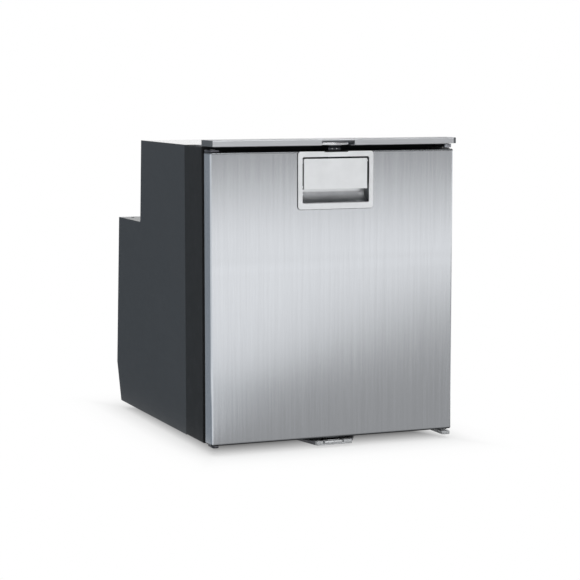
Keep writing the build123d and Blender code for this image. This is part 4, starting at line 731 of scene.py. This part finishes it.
# The rear cover leans forward: its face starts at a foot and comes in by the lean over its rise.
COVER_FOOT_DEPTH, COVER_FOOT_HEIGHT = 0.2665, 0.087
COVER_LEAN, COVER_RISE = 0.021, 0.278
TO_REAR = math.atan2(COVER_LEAN, COVER_RISE)
HOOD_LOW, HOOD_HIGH = (-0.056, -0.0004, -0.0032), (0.056, 0.0034, 0.0062)
HOOD_SLOPE, HOOD_ROUNDING, HOOD_SHEET = 0.003, 0.0022, 0.0007
HOOD_TOUCH, HOOD_OUTSIDE = 0.0004, 0.0005
LOUVRE_COLUMNS = (-0.122, 0.0, 0.122)
LOUVRE_ROWS, LOUVRE_PITCH, LOUVRE_MIDDLE = 17, 0.013, 0.222


def make_louvres():
    """A pressed hood over each slot of the rear cover."""
    side, outside, top = (reach - HOOD_TOUCH for reach in HOOD_HIGH)
    hood = new_block("hood", HOOD_LOW, HOOD_HIGH)
    edit(hood, "EDGE", lambda middle, edge: middle.y > outside and middle.z > top)
    bpy.ops.transform.translate(value=(0, -HOOD_SLOPE, 0))
    leave_edit()
    edit(hood, "FACE", lambda middle, face: face.normal.y < -STRAIGHT or face.normal.z < -STRAIGHT)
    bpy.ops.mesh.delete(type="FACE")
    leave_edit()
    bevel_chosen(hood, "EDGE", lambda middle, edge: abs(middle.x) > side and middle.y > HOOD_OUTSIDE,
                 HOOD_ROUNDING)
    apply(hood, "SOLIDIFY", thickness=HOOD_SHEET, offset=-1)
    moves = []
    for row in range(LOUVRE_ROWS):
        z = LOUVRE_MIDDLE + (row - LOUVRE_ROWS // 2) * LOUVRE_PITCH
        y = COVER_FOOT_DEPTH - (z - COVER_FOOT_HEIGHT) / COVER_RISE * COVER_LEAN
        for x in LOUVRE_COLUMNS:
            moves.append(Matrix.Translation((x, y, z)) @ Matrix.Rotation(TO_REAR, 4, "X"))
    place(copies("cover_louvres", hood, moves), "cabinet", "cabinet_paint", "cover_paint")


FOOT_CORNERS = 40
FOOT_RADIUS, FOOT_HEIGHT, FOOT_ROUNDING = 0.014, 0.0148, 0.0014
FOOT_RIM, FOOT_WALL, FOOT_HOLLOW = 0.0008, 0.0052, 0.0015
FOOT_SEAT, FOOT_BORE = 0.003, 0.0055
# The edges that are rounded lie below this height and further out than this radius.
FOOT_EDGE_HEIGHT, FOOT_EDGE_RADIUS = 0.0001, 0.0135
GROOVE_MIDDLE, GROOVE_RADIUS, GROOVE_HEIGHT = (0, 0, 0.0085), 0.02, 0.0014
CORE_RADIUS, CORE_HEIGHT = 0.0132, 0.0034
FEET = [(x, y, 0) for x in (-0.165, 0.165) for y in (-0.105, 0.195)]


def make_feet():
    """Turned rubber feet with a groove and a hollow for the screw."""
    foot = new_rod("foot", (0, 0, FOOT_HEIGHT / 2), FOOT_RADIUS, FOOT_HEIGHT, FOOT_CORNERS)
    edit(foot, "FACE", looks_down)
    bpy.ops.mesh.inset(thickness=FOOT_RIM)
    bpy.ops.mesh.inset(thickness=FOOT_WALL)
    push_out((0, 0, FOOT_HOLLOW))
    bpy.ops.mesh.inset(thickness=FOOT_SEAT)
    push_out((0, 0, FOOT_BORE))
    leave_edit()

    def at_edge(middle, edge):
        """An edge at the rim of the underside."""
        return middle.z < FOOT_EDGE_HEIGHT and middle.xy.length > FOOT_EDGE_RADIUS
    bevel_chosen(foot, "EDGE", at_edge, FOOT_ROUNDING)
    groove = new_rod("groove", GROOVE_MIDDLE, GROOVE_RADIUS, GROOVE_HEIGHT, FOOT_CORNERS)
    cut(groove, new_rod("core", GROOVE_MIDDLE, CORE_RADIUS, CORE_HEIGHT, FOOT_CORNERS))
    cut(foot, groove)
    moves = [Matrix.Translation(spot) for spot in FEET]
    place(copies("turned_feet", foot, moves), "cabinet", "rubber", "soft_rubber", "rubber_feet")


PLATE_CORNERS = ((-0.2222, -0.2676, 0.5056), (-0.2068, -0.238, 0.5091))
INSERT_CORNERS = ((-0.2192, -0.2664, 0.0132), (-0.2092, -0.2404, 0.0172))
PLATE_ROUNDING, INSERT_ROUNDING, NUT_ROUNDING, PLUG_ROUNDING = 0.0009, 0.0012, 0.0006, 0.0006
NUT_MIDDLE, NUT_RADIUS, NUT_LENGTH = (-0.213, -0.2535, 0.0148), 0.0056, 0.0044
PLUG_MIDDLE, PLUG_RADIUS, PLUG_LENGTH = (-0.213, -0.2535, 0.5094), 0.0036, 0.0016


def make_spare_plates():
    """The spare hinge places: a dark plate with a light plug above, a dark insert and nut below; their
    darkened zinc is painted shade.
    """
    plate = new_block("plate", *PLATE_CORNERS)
    soften(plate, PLATE_ROUNDING, steps=3)
    insert = new_block("insert", *INSERT_CORNERS)
    soften(insert, INSERT_ROUNDING, steps=3)
    nut = new_rod("nut", NUT_MIDDLE, NUT_RADIUS, NUT_LENGTH, corners=6)
    soften(nut, NUT_ROUNDING)
    place(joined("spare_hinge_covers", [plate, insert, nut]), "door", "zinc_steel", "black_zinc",
          "spare_hinge_plates")
    plug = new_rod("spare_hole_plug", PLUG_MIDDLE, PLUG_RADIUS, PLUG_LENGTH)
    bevel_chosen(plug, "FACE", looks_up, PLUG_ROUNDING)
    place(plug, "door", "zinc_steel", "bush_grey")


# Where the lower catch's base turns to a darker slate metal on its sides and top, as painted shade, and the
# upper catch's strip to dark grey.
BASE_CHEEK, BASE_TOP = 0.0336, 0.01205
STRIP_FOOT = 0.5152

# CAD node, piece, width of the rounding, body, slot, finish and, for the base, steps of the rounding.
SOFT_PIECES = [
    ("catch_base_lower", "catch_base", 0.0007, "cabinet", "catch_plastic", "die_cast", 3),
    ("catch_slide_upper", "catch_strip_upper", 0.0004, "catch_slide_upper", "catch_bright", "bright_chrome"),
    ("catch_slide_lower", "catch_bar_lower", 0.0004, "catch_slide_lower", "catch_bright", "bar_silver"),
    ("upper_latch", "latch_nose_upper", 0.0004, "upper_latch", "latch_plastic", "latch_grey"),
    ("lower_latch", "latch_nose_lower", 0.0004, "lower_latch", "latch_plastic", "latch_grey"),
    ("hinge_bracket_upper", "hinge_arm_upper", 0.0005, "cabinet", "zinc_steel", "zinc_steel"),
    ("hinge_bracket_lower", "hinge_arm_lower", 0.0006, "cabinet", "zinc_steel", "hinge_silver"),
]


def make_catches():
    """Catches, latches and brackets with softened edges; the first two have a second finish."""
    base, strip = [softened(*row) for row in SOFT_PIECES][:2]
    # Painted shade: the catch base's sides and top take the darker slate metal.
    second_finish(base, "slate_metal",
                  lambda middle, face: abs(middle.x) > BASE_CHEEK or middle.z > BASE_TOP)
    second_finish(strip, "latch_grey", lambda middle, face: middle.z < STRIP_FOOT)


make_screws()
make_nose_studs()
make_finger_scoop()
make_gasket()
make_handle_shade_ring()
make_louvres()
make_feet()
make_spare_plates()
make_catches()


IMAGE_SIDE = 580
FOCAL_PIXELS = 1912.98
CAMERA_PLACE = (-1.2782, -3.2204, 0.6305)
CAMERA_TURN = 0.385
CAMERA_DIP = 0.1116


def make_camera():
    """The photograph's viewpoint: left of the door, a little above it, through a long lens."""
    lens = bpy.data.cameras.new("camera")
    camera = bpy.data.objects.new("camera", lens)
    bpy.context.scene.collection.objects.link(camera)
    camera.location = CAMERA_PLACE
    camera.rotation_euler = Euler((math.pi / 2 - CAMERA_DIP, 0, -CAMERA_TURN))
    lens.lens = FOCAL_PIXELS / IMAGE_SIDE * lens.sensor_width
    bpy.context.scene.camera = camera


def joined_values(tree, operation, first, second):
    """Two values put together by a sum, a product or the larger of the two."""
    node = tree.nodes.new("ShaderNodeMath")
    node.operation = operation
    tree.links.new(first, node.inputs[0])
    tree.links.new(second, node.inputs[1])
    return node.outputs[0]


def mixed_shader(tree, share, first, second, output):
    """Two shaders mixed by a share of the second, for that output node's surface."""
    mix = tree.nodes.new("ShaderNodeMixShader")
    tree.links.new(share, mix.inputs["Fac"])
    tree.links.new(first, mix.inputs[1])
    tree.links.new(second, mix.inputs[2])
    tree.links.new(mix.outputs["Shader"], tree.nodes[output].inputs["Surface"])


def background_rays(tree):
    """1 for rays from the camera, and for those that metal or glass sends on."""
    path = tree.nodes.new("ShaderNodeLightPath")
    total = path.outputs["Is Camera Ray"]
    for name in ("Is Glossy Ray", "Is Transmission Ray"):
        total = joined_values(tree, "MAXIMUM", total, path.outputs[name])
    return total


AMBIENT = 0.45
WHITE = (1, 1, 1, 1)


def make_world():
    """White where the camera or a reflection looks past the floor, and a soft grey as light."""
    world = bpy.data.worlds.new("studio")
    bpy.context.scene.world = world
    world.use_nodes = True
    tree = world.node_tree
    light = tree.nodes["Background"]
    light.inputs["Color"].default_value = WHITE
    light.inputs["Strength"].default_value = AMBIENT
    white = tree.nodes.new("ShaderNodeBackground")
    white.inputs["Color"].default_value = WHITE
    mixed_shader(tree, background_rays(tree), light.outputs["Background"], white.outputs["Background"],
                 "World Output")


# The closed object's outline as half its width and depth, and how much faster the painted shadow fades
# sideways.
FOOTPRINT = (0.2225, 0.265)
SIDE_STRETCH = 2.0
FLOOR_SIDE = 40.0
FLOOR_COLOUR = 0.85

# By the distance from the outline: the paper's colour as the camera sees it, darker near the object as a
# painted shadow, and the share of plain white, which is the sum of three slopes and is lower near and
# beneath the object as a painted shadow.
PAINTED_SHADOW_FADE, PAINTED_SHADOW_COLOURS = (0.0, 0.35), (0.6, 1.2)
PAINTED_SHADOW_WHITE_STEPS = [((-0.08, -0.016), (0.17, 0.585)), ((-0.016, 0.09), (0, 0.335)), ((0.09, 0.2), (0, 0.08))]


def beyond_footprint(tree):
    """How far a place on the floor is from the object's outline, more to the sides; below zero beneath. It
    shapes the painted shadow.
    """
    position = tree.nodes.new("ShaderNodeTexCoord")
    away = tree.nodes.new("ShaderNodeVectorMath")
    away.operation = "ABSOLUTE"
    tree.links.new(position.outputs["Object"], away.inputs[0])
    past = tree.nodes.new("ShaderNodeVectorMath")
    past.operation = "MULTIPLY_ADD"
    past.inputs[1].default_value = (SIDE_STRETCH, 1, 1)
    past.inputs[2].default_value = (-SIDE_STRETCH * FOOTPRINT[0], -FOOTPRINT[1], 0)
    tree.links.new(away.outputs["Vector"], past.inputs[0])
    parts = tree.nodes.new("ShaderNodeSeparateXYZ")
    tree.links.new(past.outputs["Vector"], parts.inputs["Vector"])
    return joined_values(tree, "MAXIMUM", parts.outputs["X"], parts.outputs["Y"])


def make_floor():
    """A pale floor: it keeps the object's real shadow, adds a painted shadow that darkens towards the
    object's outline, and is plain white further out.
    """
    bpy.ops.mesh.primitive_plane_add(size=FLOOR_SIDE, location=(0, 0, 0))
    floor = bpy.context.object
    floor.name = "floor"
    material = bpy.data.materials.new("white_floor")
    material.use_nodes = True
    tree = material.node_tree
    tree.nodes.remove(tree.nodes["Principled BSDF"])
    seen = background_rays(tree)
    beyond = beyond_footprint(tree)
    paper = tree.nodes.new("ShaderNodeBsdfDiffuse")
    # Painted shadow: the paper's colour darkens towards the object's outline.
    colour = ranged(tree, seen, (0, 1), (FLOOR_COLOUR, 1))
    tree.links.new(ranged(tree, beyond, PAINTED_SHADOW_FADE, PAINTED_SHADOW_COLOURS), colour.node.inputs["To Max"])
    tree.links.new(colour, paper.inputs["Color"])
    # Painted shadow: less plain white near and beneath the object.
    share = ranged(tree, beyond, *PAINTED_SHADOW_WHITE_STEPS[0])
    for step in PAINTED_SHADOW_WHITE_STEPS[1:]:
        share = joined_values(tree, "ADD", share, ranged(tree, beyond, *step))
    share = joined_values(tree, "MULTIPLY", share, seen)
    white = tree.nodes.new("ShaderNodeEmission")
    mixed_shader(tree, share, paper.outputs["BSDF"], white.outputs["Emission"], "Material Output")
    floor.data.materials.append(material)


def flat(height, outline):
    """The corners of a card that lies at that height."""
    return [(x, y, height) for x, y in outline]


def standing(first, second, top):
    """The corners of a card that stands on the floor between two places."""
    return [(*first, 0), (*second, 0), (*second, top), (*first, top)]


# Name, corners, level of grey and warmth.
CARDS = [
    ("card_behind_camera", standing((-8, -8), (12, -8), 2.2), 134, 0),
    ("card_high", [(-8, -8, 2.2), (12, -8, 2.2), (12, -5, 12), (-8, -5, 12)], 100, 0),
    ("card_over", flat(3, [(-6, -4.4), (6, -4.4), (6, 6), (-6, 6)]), 150, 0),
    ("card_before_door",
     flat(0.002, [(-0.25, -0.3), (0.02, -0.9), (1.36, -2.5), (4.0, -2.5), (4.0, -0.3)]), 160, 0),
    ("card_far_right", flat(0.002, [(1.86, -4.2), (3.6, -8.0), (12.0, -8.0), (12.0, -4.2)]), 222, 0),
    ("card_at_foot", flat(0.003, [(-0.3, -0.2), (-0.3, -0.298), (0.6, -0.298), (0.6, -0.2)]), 105, 0),
    ("card_below_flap", flat(0.3, [(-0.3, -0.45), (-0.3, -0.8), (0.6, -0.8), (0.6, -0.45)]), 252, 0),
    ("card_at_left", standing((-0.8, 0.1), (-0.8, 6.0), 2.0), 132, -7),
    ("card_left_foot", flat(0.002, [(-0.8, -0.6), (-0.25, -0.3), (-0.25, 6.0), (-0.8, 6.0)]), 138, -7),
    ("card_front_foot",
     flat(0.001, [(-0.25, -0.3), (-0.8, -0.6), (-1.7, -2.6), (0.0, -2.6), (0.0, -0.9)]), 232, -2),
    ("card_front_left", standing((-0.8, 0.1), (-1.7, -2.6), 2.0), 215, -3),
]


def reflected_card(name, corners, level, warmth):
    """A studio card that only reflections see, as a plain tone."""
    mesh = bpy.data.meshes.new(name)
    mesh.from_pydata(corners, [], [range(len(corners))])
    card = bpy.data.objects.new(name, mesh)
    bpy.context.scene.collection.objects.link(card)
    for ray in ("camera", "diffuse", "shadow", "transmission", "volume_scatter"):
        setattr(card, f"visible_{ray}", False)
    material = bpy.data.materials.new(name)
    material.use_nodes = True
    material.cycles.emission_sampling = "NONE"
    tree = material.node_tree
    tree.nodes.remove(tree.nodes["Principled BSDF"])
    tone = tree.nodes.new("ShaderNodeEmission")
    tone.inputs["Color"].default_value = grey(level, warmth)
    tree.links.new(tone.outputs["Emission"], tree.nodes["Material Output"].inputs["Surface"])
    mesh.materials.append(material)


def make_cards():
    """Grey cards round the object: they give the metal its darker and lighter reflections."""
    for card in CARDS:
        reflected_card(*card)


def softbox(name, position, target, side, power):
    """A large square soft lamp at a position, turned to a target."""
    data = bpy.data.lights.new(name, "AREA")
    data.shape = "RECTANGLE"
    data.size = data.size_y = side
    data.energy = power
    lamp = bpy.data.objects.new(name, data)
    bpy.context.scene.collection.objects.link(lamp)
    lamp.location = position
    lamp.rotation_euler = (Vector(target) - Vector(position)).to_track_quat("-Z", "Y").to_euler()
    return lamp


def make_lights():
    """Soft lamps over the object, in front of it and at its left."""
    top_lamp = softbox("over_object", (-0.2, 0.2, 2.6), target=(0, 0, 0), side=3.2, power=62)
    top_lamp.visible_glossy = False
    front_lamp = softbox("before_door", (0.3, -2.6, 1.8), target=(0.3, -1.6, 0), side=1.6, power=32)
    front_lamp.data.diffuse_factor = 0.6
    side_lamp = softbox("left_side", (-2.6, 0.3, 1.2), target=(0, 0, 0.25), side=1.5, power=9)
    side_lamp.visible_glossy = False


def make_studio():
    """Camera, world, floor, cards and lamps, with plain colour management."""
    bpy.context.scene.view_settings.view_transform = "Standard"
    make_camera()
    make_world()
    make_floor()
    make_cards()
    make_lights()


make_studio()
